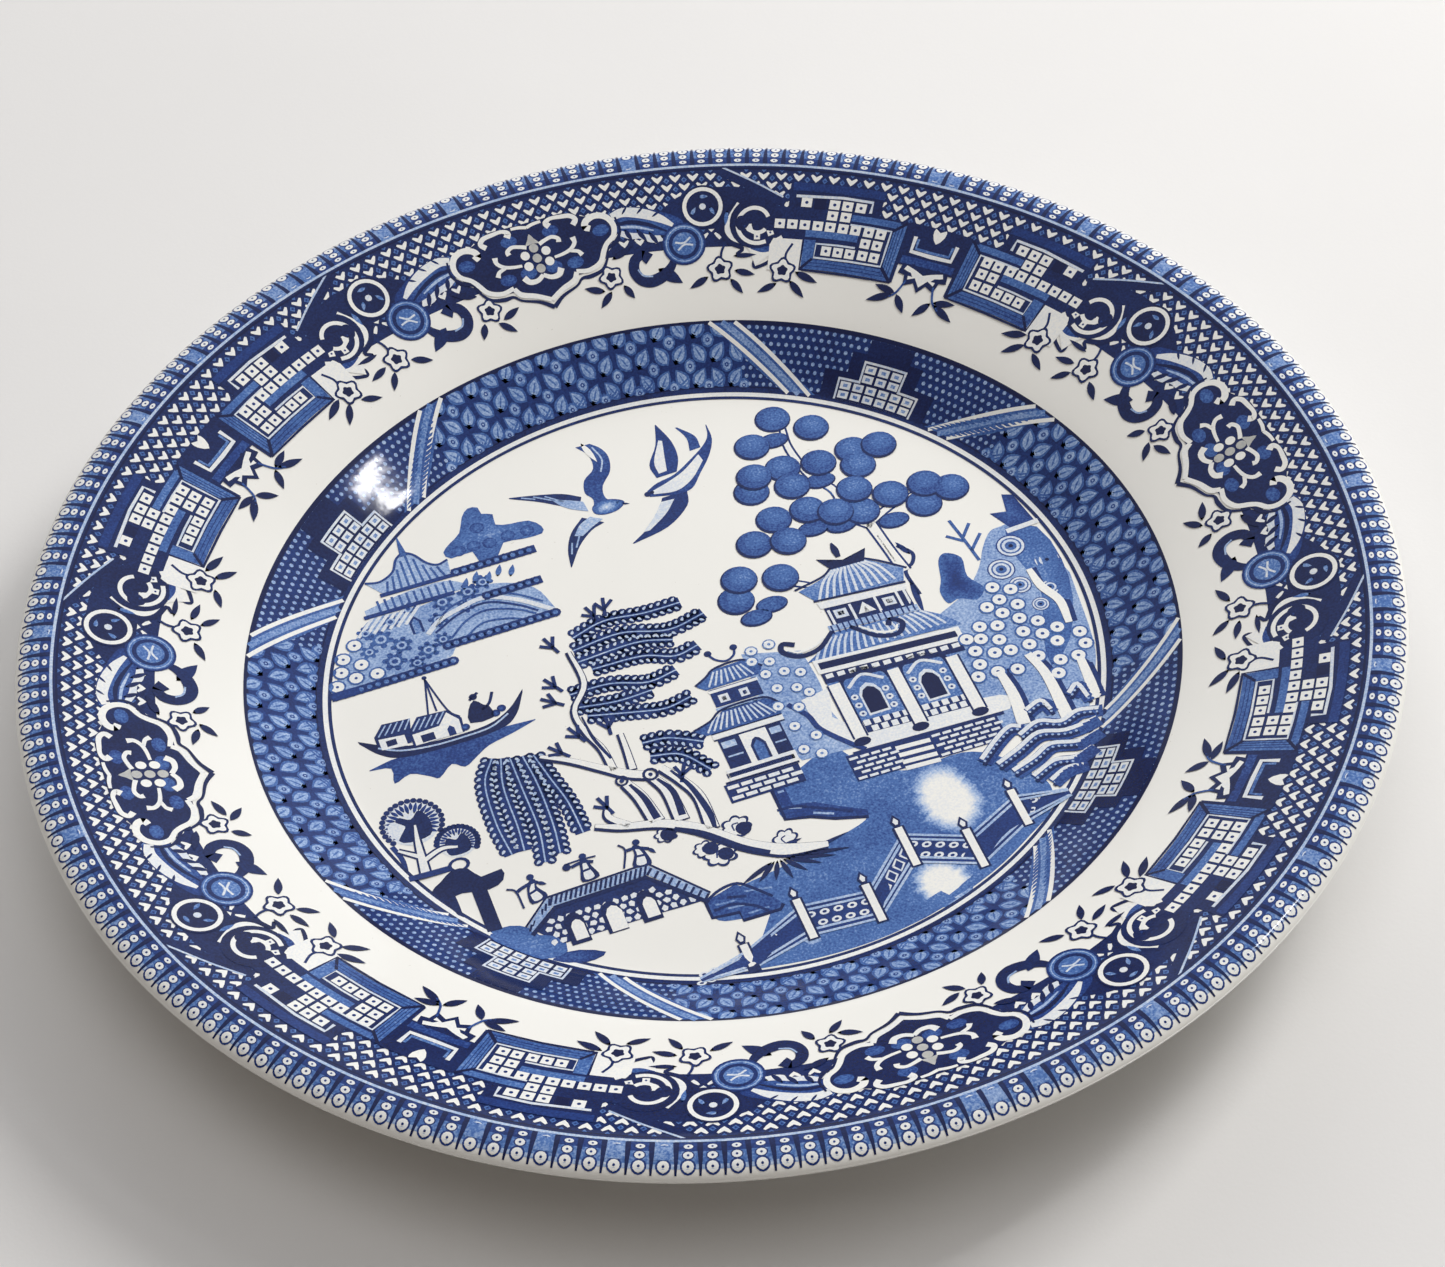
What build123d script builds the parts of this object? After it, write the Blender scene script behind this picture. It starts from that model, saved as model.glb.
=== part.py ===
"""China dinner plate with an underglaze blue print.

The plate is one fired piece, built here as the layers that it is made in: the clay body, the printed
transfers that lie on the body, and the glaze over them. Each layer is a closed solid or a group of solids.

Frame: the origin is on the table at the centre of the foot ring, +Z is up, and +Y runs through the middle
of the border cartouche that stands above the landscape. Sizes are in millimetres.
"""
import os

from build123d import *

os.makedirs("parts", exist_ok=True)

# Driving dimensions of the finished, glazed plate
plate_radius = 130.0
well_radius = 75.2
wall_top_radius = 89.4
crest_radius = 124.2
foot_radius = 76.2
foot_width = 4.0
foot_height = 1.8
floor_height = 6.0
wall_rise = 8.6
rim_rise = 14.5
lip_drop = 0.8
lip_thickness = 3.1
back_rim_radius = 126.2
back_rim_inset = 0.1
back_wall_radius = 91.2
back_wall_height = 10.8
foot_slope = 0.8
foot_step = 0.5
base_slope = 1.0

# Bend radii of the section's corners
well_bend = 6.0
wall_top_bend = 60.0
crest_bend = 8.0
lip_top_bend = 1.5
lip_bottom_bend = 1.4
back_rim_bend = 6.0
back_wall_bend = 50.0
foot_edge_bend = 0.7
foot_root_bend = 1.0

# Thicknesses of the layers on the clay. The print is thicker than a real film of colour,
# so that it is a solid.
glaze_thickness = 0.35
print_thickness = 0.15
bare_foot_height = 0.6

# Radii of the printed zones
scene_radius = 73.3
ring_print_inner = 74.0
ring_print_outer = 75.8
band_print_inner = 76.2
band_print_outer = 89.4
border_print_inner = 97.0
border_ground_inner = 103.5
border_print_outer = 123.0
coin_radius = 4.3
edge_print_inner = 123.6
edge_print_outer = 128.4
border_repeats = 4

wall_top = floor_height + wall_rise
crest_height = wall_top + rim_rise
lip_top = crest_height - lip_drop
lip_bottom = lip_top - lip_thickness
foot_inner_radius = foot_radius - foot_width
foot_middle_radius = foot_radius - foot_width / 2
foot_zone_height = foot_height + 1
axis_overrun = 5.0
reach = 2 * plate_radius


# Section of the finished plate, on the XY plane: x is the radius and y is the height
section_corners = [
    ((-axis_overrun, floor_height), 0),
    ((well_radius, floor_height), well_bend),
    ((wall_top_radius, wall_top), wall_top_bend),
    ((crest_radius, crest_height), crest_bend),
    ((plate_radius, lip_top), lip_top_bend),
    ((plate_radius, lip_bottom), lip_bottom_bend),
    ((back_rim_radius, lip_bottom + back_rim_inset), back_rim_bend),
    ((back_wall_radius, back_wall_height), back_wall_bend),
    ((foot_radius + foot_slope, foot_height + foot_step), foot_root_bend),
    ((foot_radius, 0), foot_edge_bend),
    ((foot_inner_radius, 0), foot_edge_bend),
    ((foot_inner_radius - base_slope, foot_height), foot_root_bend),
    ((-axis_overrun, foot_height), 0),
]
with BuildSketch() as finished_section:
    with BuildLine():
        FilletPolyline(
            *[point for point, radius in section_corners],
            radius=[radius for point, radius in section_corners],
            close=True,
        )
    make_face()

with BuildSketch() as clay_section:
    add(finished_section.sketch)
    offset(amount=-glaze_thickness)

with BuildSketch() as bare_foot_section:
    add(finished_section.sketch)
    with Locations((foot_radius, 0)):
        Rectangle(5 * foot_width, 2 * bare_foot_height, mode=Mode.INTERSECT)

# The print lies on the clay under the face alone, so the section is cut off below a line inside the wall
half_wall = 2.0
with BuildSketch() as print_section:
    add(finished_section.sketch)
    offset(amount=print_thickness - glaze_thickness)
    add(clay_section.sketch, mode=Mode.SUBTRACT)
    Polygon(
        (0, floor_height - half_wall),
        (well_radius, floor_height - half_wall),
        (wall_top_radius, wall_top - half_wall),
        (crest_radius, crest_height - half_wall),
        (plate_radius, lip_top - half_wall),
        (plate_radius, plate_radius),
        (0, plate_radius),
        align=None,
        mode=Mode.INTERSECT,
    )


def print_layer(inner_radius, outer_radius):
    """Turn the part of the print layer that lies on the face between two radii."""
    middle = (inner_radius + outer_radius) / 2
    with BuildSketch(Plane.XZ) as zone:
        add(print_section.sketch)
        with Locations((middle, 0)):
            Rectangle(outer_radius - inner_radius, reach, mode=Mode.INTERSECT)
    revolve(zone.sketch, axis=Axis.Z)


def leaf(tip_from, tip_to, width):
    """Draw a pointed leaf between two points, from two mirrored arcs."""
    start = Vector(*tip_from)
    end = Vector(*tip_to)
    side = (end - start).normalized().rotate(Axis.Z, 90) * (width / 2)
    with BuildSketch() as blade:
        with BuildLine():
            ThreePointArc(start, (start + end) / 2 + side, end)
            ThreePointArc(end, (start + end) / 2 - side, start)
        make_face()
    add(blade.sketch)


def polygon(*points):
    """Draw a straight-sided shape through its corners."""
    Polygon(*points, align=None)


# Biscuit-fired clay body with its foot ring. The foot's underside is left bare of glaze.
with BuildPart() as plate_body:
    with BuildSketch(Plane.XZ):
        add(clay_section.sketch)
        add(bare_foot_section.sketch)
        with Locations((plate_radius / 2, 0)):
            Rectangle(plate_radius, reach, mode=Mode.INTERSECT)
    revolve(axis=Axis.Z)


# Landscape transfer on the flat floor of the well. Every motif is a flat patch of colour of its own.
clay_floor = floor_height - glaze_thickness
tree_discs = [
    (33.5, 60), (27, 54), (40, 54.5), (24.5, 45.5), (31.5, 46), (38, 44), (45.5, 45.5), (52, 43.5),
    (42.5, 35), (31.5, 33), (25, 32), (47, 30), (56, 31), (18, 28), (24.5, 26.5), (41.5, 27.5),
    (61, 27), (53.5, 25.5), (12, 19.5), (19.5, 17), (9.5, 14.5), (16, 11), (12, 7.5),
]
disc_radius = 3.4
willow_fronds = [
    ((-24, 18), (-1, 18), 5), ((-24, 13), (2.5, 13), 5), ((-20, 8), (-1, 5), 4), ((-29, 2), (-7, 1), 5),
    ((-26, -2), (-7, -8), 4), ((-48, -8), (-50, -30), 4), ((-43, -8), (-45, -34), 4),
    ((-38, -8), (-36, -29), 4), ((-20, -13), (-7, -18), 4), ((-16, -16), (-9, -25), 3),
]
fence_posts = [(-17.5, -66), (-5, -63.5), (7.7, -65), (18, -57), (29.3, -60), (40.7, -54)]
fence_post_width = 1.5
fence_post_height = 10.0
with BuildPart() as centre_scene_print:
    with BuildSketch(Plane.XY.offset(clay_floor)):
        # Two birds
        leaf((-23, 58.5), (-9.5, 52), 2.6)
        leaf((-9, 48), (-5, 67), 4.5)
        leaf((-17.5, 35.5), (-8, 49), 3.4)
        leaf((-10, 50), (-2, 47.5), 3.4)
        leaf((4, 48.5), (20, 62.5), 4.2)
        leaf((7, 54), (11, 67), 2.6)
        leaf((-4, 37), (10.5, 47), 3.6)
        # Fruit tree
        with Locations(*tree_discs):
            Circle(disc_radius)
        # Island with its houses, trees and shore
        polygon((-57, 47), (-49.5, 47), (-48, 56), (-46.5, 47), (-40, 47), (-40, 41), (-55, 41))
        polygon((-59.5, 42), (-37, 42), (-37, 37), (-59.5, 37))
        leaf((-40, 48.5), (-20, 48.5), 7)
        leaf((-47, 43), (-22, 43), 2.6)
        polygon((-71, 20), (-46, 20), (-46, 24), (-24, 24), (-34, 34), (-44, 36), (-62, 35), (-68, 29))
        # Boat
        leaf((-69, 8), (-36, 8), 10)
        polygon((-66, 6), (-66, 9), (-63, 10), (-58, 10), (-58, 5))
        polygon((-59.5, 5), (-59.5, 8), (-56, 9.5), (-51, 9.5), (-49, 5))
        leaf((-69, -1), (-36, -1), 7)
        # Willow
        for tip_from, tip_to, width in willow_fronds:
            leaf(tip_from, tip_to, width)
        polygon((-29, -2), (-28, -2), (-17, -20), (-10, -38), (2, -49), (-8, -49), (-13, -38), (-21, -22))
        # Bridge on three arches
        polygon(
            (-51, -48), (-46, -42), (-27, -42), (-19, -50), (-19, -54), (-29, -54), (-29, -50), (-32, -48),
            (-32, -54), (-35, -54), (-35, -48), (-39, -48), (-39, -54), (-43, -54), (-43, -48), (-47, -50),
        )
        # Gateway and its shrub
        leaf((-66, -28), (-65, -10.5), 12)
        polygon(
            (-66, -36), (-63, -30), (-55, -30), (-53, -35), (-56, -36), (-56, -47), (-59, -47), (-59, -36),
        )
        # Summer house and tea house
        polygon((-5, -3), (3, 2), (9, -4), (7, -5), (7, -13), (9, -17), (6, -18), (6, -28),
                (8, -34), (-8, -34), (-6, -28), (-6, -18), (-9, -16), (-3, -12), (-3, -5))
        polygon((27, 17), (33, 20), (39, 17), (42, 8), (41, -2), (48, -8), (46, -12), (44, -30),
                (46, -38), (16, -37), (19, -30), (19, -10), (14, -4), (25, -2), (25, 8))
        # Trees and rocks behind the tea house
        polygon((50, -12), (58, 2), (66, 12), (71, 8), (72, -8), (68, -24), (52, -24))
        leaf((39, -41), (64, -37), 11)
        # Water and shore
        polygon((10, -31), (13.5, -37.5), (24, -40), (24, -52), (34, -52), (34, -41), (39, -42), (44, -48),
                (50, -51), (41, -53), (30, -58.5), (19, -54), (8, -60.5), (-6, -60), (-20, -57),
                (-20, -53), (-8, -51), (4, -50), (12, -47), (14, -45), (3, -41), (1, -36))
        # Fence
        with Locations(*fence_posts):
            Rectangle(fence_post_width, fence_post_height)
        polygon((-25, -71), (-5, -61), (8, -62), (18, -54), (29, -59), (41, -52.5), (50, -54),
                (50, -57), (41, -58), (29, -65), (18, -60), (8, -68), (-5, -68), (-17, -70))
        Circle(scene_radius, mode=Mode.INTERSECT)
    extrude(amount=print_thickness)


# Double line that frames the floor of the well
with BuildPart() as well_ring_print:
    print_layer(ring_print_inner, ring_print_outer)


# Transfer strips on the wall of the well, with the joins between the four repeats left bare
join_width = 1.2
join_length = 40
join_angle = 22
join_lean = 40
block_width = 6
block_length = 12
band_middle_radius = 82
with BuildPart() as inner_band_print:
    print_layer(band_print_inner, band_print_outer)
    with BuildSketch():
        for repeat in range(border_repeats):
            for side in (-1, 1):
                with PolarLocations(band_middle_radius, 1, start_angle=45 + 90 * repeat + join_angle * side):
                    Rectangle(join_length, join_width, rotation=-side * join_lean)
        with PolarLocations(band_middle_radius, border_repeats, start_angle=45):
            Rectangle(block_width, block_length)
    extrude(amount=reach, mode=Mode.SUBTRACT)


# Wide border on the rim: four repeats, with a cartouche that hangs below the ground of each
# and two round coins left bare at its sides
coin_angle = 18.9
coin_centre_radius = 113.8
with BuildPart() as rim_border_print:
    print_layer(border_print_inner, border_print_outer)
    with BuildSketch() as border_shape:
        Circle(border_print_outer + 1)
        Circle(border_ground_inner, mode=Mode.SUBTRACT)
        with PolarLocations(0, border_repeats):
            polygon((-16, 106), (-9, 102.5), (-6, 101), (0, 97.6), (6, 101), (9, 102.5), (16, 106))
        for side in (-1, 1):
            with PolarLocations(coin_centre_radius, border_repeats, start_angle=90 + side * coin_angle):
                Circle(coin_radius, mode=Mode.SUBTRACT)
    extrude(amount=reach, mode=Mode.INTERSECT)


# Band of bars and eyelets that rolls over the edge, as one closed ring of colour
with BuildPart() as edge_band_print:
    print_layer(edge_print_inner, edge_print_outer)


# Fired glaze, in two skins: one over the face, lip and back, the other inside the foot ring.
# Over the ringed prints the outer skin is thinner by the thickness of the print, and it fills in
# round the landscape.
printed_zones = [
    (ring_print_inner, ring_print_outer),
    (band_print_inner, band_print_outer),
    (border_print_inner, border_print_outer),
    (edge_print_inner, edge_print_outer),
]
with BuildSketch() as ringed_prints:
    for inner_radius, outer_radius in printed_zones:
        with Locations(((inner_radius + outer_radius) / 2, 0)):
            Rectangle(outer_radius - inner_radius, reach)
    add(print_section.sketch, mode=Mode.INTERSECT)

with BuildPart() as outer_glaze:
    with BuildSketch(Plane.XZ):
        add(finished_section.sketch)
        add(clay_section.sketch, mode=Mode.SUBTRACT)
        add(bare_foot_section.sketch, mode=Mode.SUBTRACT)
        add(ringed_prints.sketch, mode=Mode.SUBTRACT)
        with Locations((reach / 2, 0)):
            Rectangle(reach, reach, mode=Mode.INTERSECT)
        with Locations((0, 0)):
            Rectangle(2 * foot_middle_radius, 2 * foot_zone_height, mode=Mode.SUBTRACT)
    revolve(axis=Axis.Z)
    add(centre_scene_print.part, mode=Mode.SUBTRACT)

with BuildPart() as base_glaze:
    with BuildSketch(Plane.XZ):
        add(finished_section.sketch)
        add(clay_section.sketch, mode=Mode.SUBTRACT)
        add(bare_foot_section.sketch, mode=Mode.SUBTRACT)
        with Locations((foot_middle_radius / 2, 0)):
            Rectangle(foot_middle_radius, 2 * foot_zone_height, mode=Mode.INTERSECT)
    revolve(axis=Axis.Z)


pieces = {
    "plate_body": plate_body,
    "centre_scene_print": centre_scene_print,
    "well_ring_print": well_ring_print,
    "inner_band_print": inner_band_print,
    "rim_border_print": rim_border_print,
    "edge_band_print": edge_band_print,
    "outer_glaze": outer_glaze,
    "base_glaze": base_glaze,
}
for name, piece in pieces.items():
    piece.part.label = name
    export_step(piece.part, f"parts/{name}.step")
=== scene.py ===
import math

import bpy
import numpy as np
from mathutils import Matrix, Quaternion, Vector


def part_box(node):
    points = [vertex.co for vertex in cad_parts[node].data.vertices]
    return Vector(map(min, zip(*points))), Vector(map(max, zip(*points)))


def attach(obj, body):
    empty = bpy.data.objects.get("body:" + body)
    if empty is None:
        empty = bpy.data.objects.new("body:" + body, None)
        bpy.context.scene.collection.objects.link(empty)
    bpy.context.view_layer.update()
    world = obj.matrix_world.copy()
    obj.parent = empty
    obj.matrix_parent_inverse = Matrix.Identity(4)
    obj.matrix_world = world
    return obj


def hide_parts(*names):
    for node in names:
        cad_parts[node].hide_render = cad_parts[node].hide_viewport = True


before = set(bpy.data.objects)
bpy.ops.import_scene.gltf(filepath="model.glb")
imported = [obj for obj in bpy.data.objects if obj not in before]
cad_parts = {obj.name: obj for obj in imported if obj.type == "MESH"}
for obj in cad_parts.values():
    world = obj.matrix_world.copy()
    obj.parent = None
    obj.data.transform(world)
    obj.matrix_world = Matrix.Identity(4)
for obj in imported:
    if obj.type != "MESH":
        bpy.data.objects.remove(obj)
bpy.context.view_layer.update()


# Camera. It stands in front of the plate, a little to its left, and looks
# down at it from about 48 degrees through a moderately long lens.
MM = 0.001
camera_place = Vector((-0.1133, -0.4002, 0.4704))
camera_aim = Vector((-0.0009, -0.0116, 0.0269))
camera_roll = math.radians(-4.67)
camera_data = bpy.data.cameras.new("camera")
camera_data.lens = 80.6
camera_data.sensor_width = 36.0
camera = bpy.data.objects.new("camera", camera_data)
camera.location = camera_place
camera.rotation_mode = "QUATERNION"
aim = (camera_aim - camera_place).to_track_quat("-Z", "Y")
camera.rotation_quaternion = aim @ Quaternion((0, 0, 1), camera_roll)
bpy.context.collection.objects.link(camera)
bpy.context.scene.camera = camera


# Shader sums. A Value is a socket that takes part in Python arithmetic, and
# a Paint is a material with one method that adds any node to it.
class Value:
    """A node's output: each operator on it adds one Math node and gives that node's output."""

    def __init__(self, paint, socket):
        self.paint = paint
        self.socket = socket

    def math(self, operation, first, second):
        return self.paint.node("ShaderNodeMath", {"operation": operation}, [first, second])

    def __add__(self, other):
        return self.math("ADD", self, other)

    def __sub__(self, other):
        return self.math("SUBTRACT", self, other)

    def __rsub__(self, other):
        return self.math("SUBTRACT", other, self)

    def __mul__(self, other):
        return self.math("MULTIPLY", self, other)

    def __gt__(self, other):
        return self.math("GREATER_THAN", self, other)

    __radd__ = __add__
    __rmul__ = __mul__


class Paint:
    """A material with a Principled shader; uniform values are set on the shader's own sockets."""

    def __init__(self, name, **uniform):
        self.material = bpy.data.materials.new(name)
        self.material.use_nodes = True
        self.tree = self.material.node_tree
        self.shader = self.tree.nodes["Principled BSDF"]
        for socket, value in uniform.items():
            self.shader.inputs[socket.replace("_", " ")].default_value = value

    def node(self, kind, settings=(), values=(), out=0):
        """Adds one node: settings first, then each socket's value or link, and gives an output."""
        made = self.tree.nodes.new(kind)
        for name, value in dict(settings).items():
            if name == "stops":
                while len(made.color_ramp.elements) < len(value):
                    made.color_ramp.elements.new(0.5)
                for element, (place, colour) in zip(made.color_ramp.elements, value):
                    element.position = place
                    element.color = (*colour, 1.0)
            else:
                setattr(made, name, value)
        pairs = values.items() if isinstance(values, dict) else enumerate(values)
        for socket, value in pairs:
            if isinstance(value, Value):
                self.tree.links.new(value.socket, made.inputs[socket])
            else:
                made.inputs[socket].default_value = value
        return Value(self, made.outputs[out])

    def place(self):
        """The point on the piece, in metres."""
        return self.node("ShaderNodeTexCoord", out="Object")

    def noise(self, size, detail=2.0):
        """Cloudy values from 0 to 1, in lumps about size millimetres across."""
        sockets = {"Vector": self.place(), "Scale": 1.0 / (size * MM), "Detail": detail}
        return self.node("ShaderNodeTexNoise", {}, sockets)

    def mix(self, factor, first, second):
        """A colour part of the way from the first colour to the second."""
        settings = {"data_type": "RGBA"}
        return self.node("ShaderNodeMix", settings, {0: factor, 6: first, 7: second}, out=2)

    def bump(self, height, distance):
        """A normal tilted by the height's slope; distance is what a height of 1 stands for."""
        return self.node("ShaderNodeBump", {}, {"Distance": distance, "Height": height}, out=0)

    def feed(self, **links):
        for socket, value in links.items():
            self.tree.links.new(value.socket, self.shader.inputs[socket.replace("_", " ")])
        return self.material


# Table. A plain pale sheet curves up behind the plate as a studio sweep does,
# so there is no horizon line.
def build(name, points, faces, material, normals=None, ink=None):
    """A mesh object from arrays: points in mm, and faces of four, or three with -1 in the fourth place."""
    mesh = bpy.data.meshes.new(name)
    loop_points = faces.ravel()[faces.ravel() >= 0].astype(np.int32)
    sizes = (faces >= 0).sum(axis=1)
    mesh.vertices.add(len(points))
    mesh.vertices.foreach_set("co", (points * MM).astype(np.float32).ravel())
    mesh.loops.add(len(loop_points))
    mesh.loops.foreach_set("vertex_index", loop_points)
    mesh.polygons.add(len(faces))
    mesh.polygons.foreach_set("loop_start", np.concatenate([[0], np.cumsum(sizes)[:-1]]).astype(np.int32))
    mesh.update(calc_edges=True)
    mesh.validate()
    mesh.polygons.foreach_set("use_smooth", np.ones(len(mesh.polygons), dtype=bool))
    if normals is not None:
        mesh.normals_split_custom_set_from_vertices(normals)
    if ink is not None:
        mesh.attributes.new("ink", "FLOAT", "POINT").data.foreach_set("value", ink.astype(np.float32))
    mesh.materials.append(material)
    piece = bpy.data.objects.new(name, mesh)
    bpy.context.collection.objects.link(piece)
    return piece


def quads(rows, columns, copies=1):
    """The faces of grids of points: each face joins four neighbours."""
    index = np.arange(copies * rows * columns).reshape(copies, rows, columns)
    four = [index[:, :-1, :-1], index[:, :-1, 1:], index[:, 1:, 1:], index[:, 1:, :-1]]
    return np.stack(four, axis=-1).reshape(-1, 4)


table_width = 2400.0
table_run = 1300.0
table_level = -0.3
table_rise = 900.0
table_rows, table_columns = 121, 25
table_paint = Paint("pale_table_paper", Roughness=0.55, Specular_IOR_Level=0.25)
table_tone = table_paint.mix(table_paint.noise(70.0), (0.735, 0.73, 0.72, 1), (0.765, 0.76, 0.75, 1))
table_paint.feed(Base_Color=table_tone, Normal=table_paint.bump(table_paint.noise(0.8), 0.00002))
table_x, table_y = np.meshgrid(
    np.linspace(-table_width / 2, table_width / 2, table_columns),
    np.linspace(-table_run, 2 * table_run, table_rows))
table_z = table_level + table_rise * np.clip((table_y - table_run / 2) / (1.5 * table_run), 0, 1) ** 2
table_points = np.stack([table_x, table_y, table_z], axis=-1).reshape(-1, 3)
table = build("table", table_points, quads(table_rows, table_columns), table_paint.material)


# Lights. A soft window stands at the right and two weaker ones lift the shadows,
# all three unseen in the glaze; a small lamp alone makes the glint on the wall of
# the well. The room is bright at the back and dim in front.
def softbox(name, place, aim_at, width, height, power, colour, mirrored=True):
    """An area light at a place in metres, facing a point; unless mirrored, the glaze doesn't show it."""
    data = bpy.data.lights.new(name, "AREA")
    data.shape = "RECTANGLE"
    data.size = width
    data.size_y = height
    data.energy = power
    data.color = colour
    light = bpy.data.objects.new(name, data)
    light.location = place
    light.rotation_mode = "QUATERNION"
    light.rotation_quaternion = (Vector(aim_at) - Vector(place)).to_track_quat("-Z", "Y")
    light.visible_glossy = mirrored
    bpy.context.collection.objects.link(light)


centre = (0.0, 0.0, 0.0)
softbox("key_light", (0.98, 0.34, 0.88), centre, 0.50, 0.50, 12.0, (1.0, 0.985, 0.965), mirrored=False)
softbox("back_light", (0.45, 1.25, 0.75), centre, 1.3, 0.5, 6.0, (0.97, 0.98, 1.0), mirrored=False)
softbox("fill_light", (-0.1, -0.3, 1.4), centre, 0.9, 0.9, 4.8, (1.0, 0.99, 0.98), mirrored=False)
softbox("glint_light", (0.78, 0.10, 1.16), centre, 0.06, 0.10, 0.6, (1.0, 1.0, 1.0))
world = bpy.data.worlds.new("studio")
world.use_nodes = True
room = world.node_tree
room_side = room.nodes.new("ShaderNodeTexCoord")
room_way = room.nodes.new("ShaderNodeVectorMath")
room_way.operation = "DOT_PRODUCT"
room_way.inputs[1].default_value = (0.55, 0.65, 0.35)
room_tone = room.nodes.new("ShaderNodeValToRGB")
room_tone.color_ramp.elements[0].color = (0.16, 0.13, 0.11, 1.0)
room_tone.color_ramp.elements[1].color = (0.80, 0.82, 0.86, 1.0)
room.links.new(room_side.outputs["Generated"], room_way.inputs[0])
room.links.new(room_way.outputs["Value"], room_tone.inputs["Fac"])
room.links.new(room_tone.outputs["Color"], room.nodes["Background"].inputs["Color"])
room.nodes["Background"].inputs["Strength"].default_value = 0.8
bpy.context.scene.world = world
bpy.context.scene.view_settings.view_transform = "Standard"


# Glazed plate. The clay is pressed and turned as one dish: a flat well, a short
# wall up to a wide sloping rim, and a rounded lip that falls slightly outwards.
# It is dipped in clear glaze all over, and the foot is wiped bare afterwards.
plate_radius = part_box("outer_glaze")[1][0] / MM
well_radius = 75.2
wall_top_radius = 89.4
crest_radius = 124.2
floor_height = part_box("centre_scene_print")[0][2] / MM
wall_slope, wall_softness = 0.596, 2.1
rim_slope, rim_softness = 0.414, 4.0
lip_slope, crest_softness = 0.13, 2.0
lip_reach = 3.0
lip_drop = 1.6
slope_limit, slope_step = 129.8, 0.1
back_floor, back_lip_start, back_lip_reach, back_lip_rise = 1.75, 128.2, 1.8, 1.5
back_wall_radius, back_wall_slope, back_wall_softness = 76.6, 0.6, 2.0
back_rim_radius, back_rim_turn, back_rim_softness = 91.2, 0.185, 3.0
back_crest_radius, back_crest_turn, back_crest_softness = 126.2, 0.415, 2.0
plate_turns = 600


def bend(distance, softness):
    """A line that turns from level to a slope of 1 at distance 0, rounded over the softness."""
    return (distance + np.sqrt(distance * distance + softness * softness)) / 2


def face_height(radius):
    """Height of the upper face: the floor plus three soft bends, and a quarter ellipse at the lip."""
    wall = wall_slope * bend(radius - well_radius, wall_softness)
    rim = (wall_slope - rim_slope) * bend(radius - wall_top_radius, rim_softness)
    crest = (rim_slope + lip_slope) * bend(radius - crest_radius, crest_softness)
    reach = np.clip((radius - plate_radius + lip_reach) / lip_reach, 0, 1)
    return floor_height + wall - rim - crest - lip_drop * (1 - np.sqrt(1 - reach * reach))


def face_normal(x, y):
    """The upper face's direction at points of the plan, from the slope of its section."""
    radius = np.maximum(np.hypot(x, y), 1e-6)
    middle = np.minimum(radius, slope_limit)
    slope = (face_height(middle + slope_step) - face_height(middle - slope_step)) / (2 * slope_step)
    normal = np.stack([-slope * x / radius, -slope * y / radius, np.ones_like(x)], axis=-1)
    return normal / np.linalg.norm(normal, axis=-1, keepdims=True)


def back_height(radius):
    """Height of the underside outside the foot: three soft bends, and a quarter ellipse at the lip."""
    reach = np.clip((radius - back_lip_start) / back_lip_reach, 0, 1)
    rise = back_lip_rise * (1 - np.sqrt(1 - reach * reach))
    wall = back_wall_slope * bend(radius - back_wall_radius, back_wall_softness) \
        - back_rim_turn * bend(radius - back_rim_radius, back_rim_softness)
    crest = back_crest_turn * bend(radius - back_crest_radius, back_crest_softness)
    return back_floor + wall - crest + rise


def lathe(name, profile, turns, material):
    """A closed surface of revolution: point (i, j) is profile point i turned by angle j."""
    angle = np.linspace(0, 2 * np.pi, turns, endpoint=False)
    between = profile[1:-1]
    x = between[:, :1] * np.sin(angle)
    y = between[:, :1] * np.cos(angle)
    z = np.broadcast_to(between[:, 1:], x.shape)
    points = np.stack([x, y, z], axis=-1).reshape(-1, 3)
    poles = np.array([[0, 0, profile[0, 1]], [0, 0, profile[-1, 1]]])
    here = np.arange(len(between) * turns).reshape(len(between), turns)
    ahead = np.roll(here, -1, axis=1)
    sides = np.stack([here[:-1], here[1:], ahead[1:], ahead[:-1]], axis=-1).reshape(-1, 4)
    none = np.full(turns, -1)
    bottom = np.stack([here[0], ahead[0], np.full(turns, len(points)), none], axis=-1)
    top = np.stack([ahead[-1], here[-1], np.full(turns, len(points) + 1), none], axis=-1)
    return build(name, np.vstack([points, poles]), np.vstack([sides, bottom, top]), material)


quarter = np.linspace(0, np.pi / 2, 11)
back_radii = np.concatenate([np.arange(77.2, 96, 0.8), np.linspace(97, 123, 14),
                             np.arange(124, back_lip_start, 0.6)])
back_lip = back_lip_start + back_lip_reach * np.sin(quarter)
face_lip = plate_radius - lip_reach + lip_reach * np.sin(quarter[::-1])
face_radii = np.concatenate([
    np.arange(126.4, 120, -0.5), np.arange(119, 96, -2.0), np.arange(95, 72, -0.5),
    np.linspace(70, 6, 9), [0.0]])
foot = np.array([
    (0, 1.8), (30, 1.8), (60, 1.8), (69.5, 1.8), (70.9, 1.72), (71.6, 1.5), (72.0, 1.1), (72.4, 0.7),
    (72.9, 0.48), (74.2, 0.42), (75.5, 0.48), (76.0, 0.72), (76.4, 1.2), (76.7, 1.9)])
back = np.stack([back_radii, back_height(back_radii)], axis=-1)
under_lip = np.stack([back_lip, back_height(back_lip)], axis=-1)
over_lip = np.stack([face_lip, face_height(face_lip)], axis=-1)[1:]
face = np.stack([face_radii, face_height(face_radii)], axis=-1)
plate_profile = np.vstack([foot, back, under_lip, over_lip, face])

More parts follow.
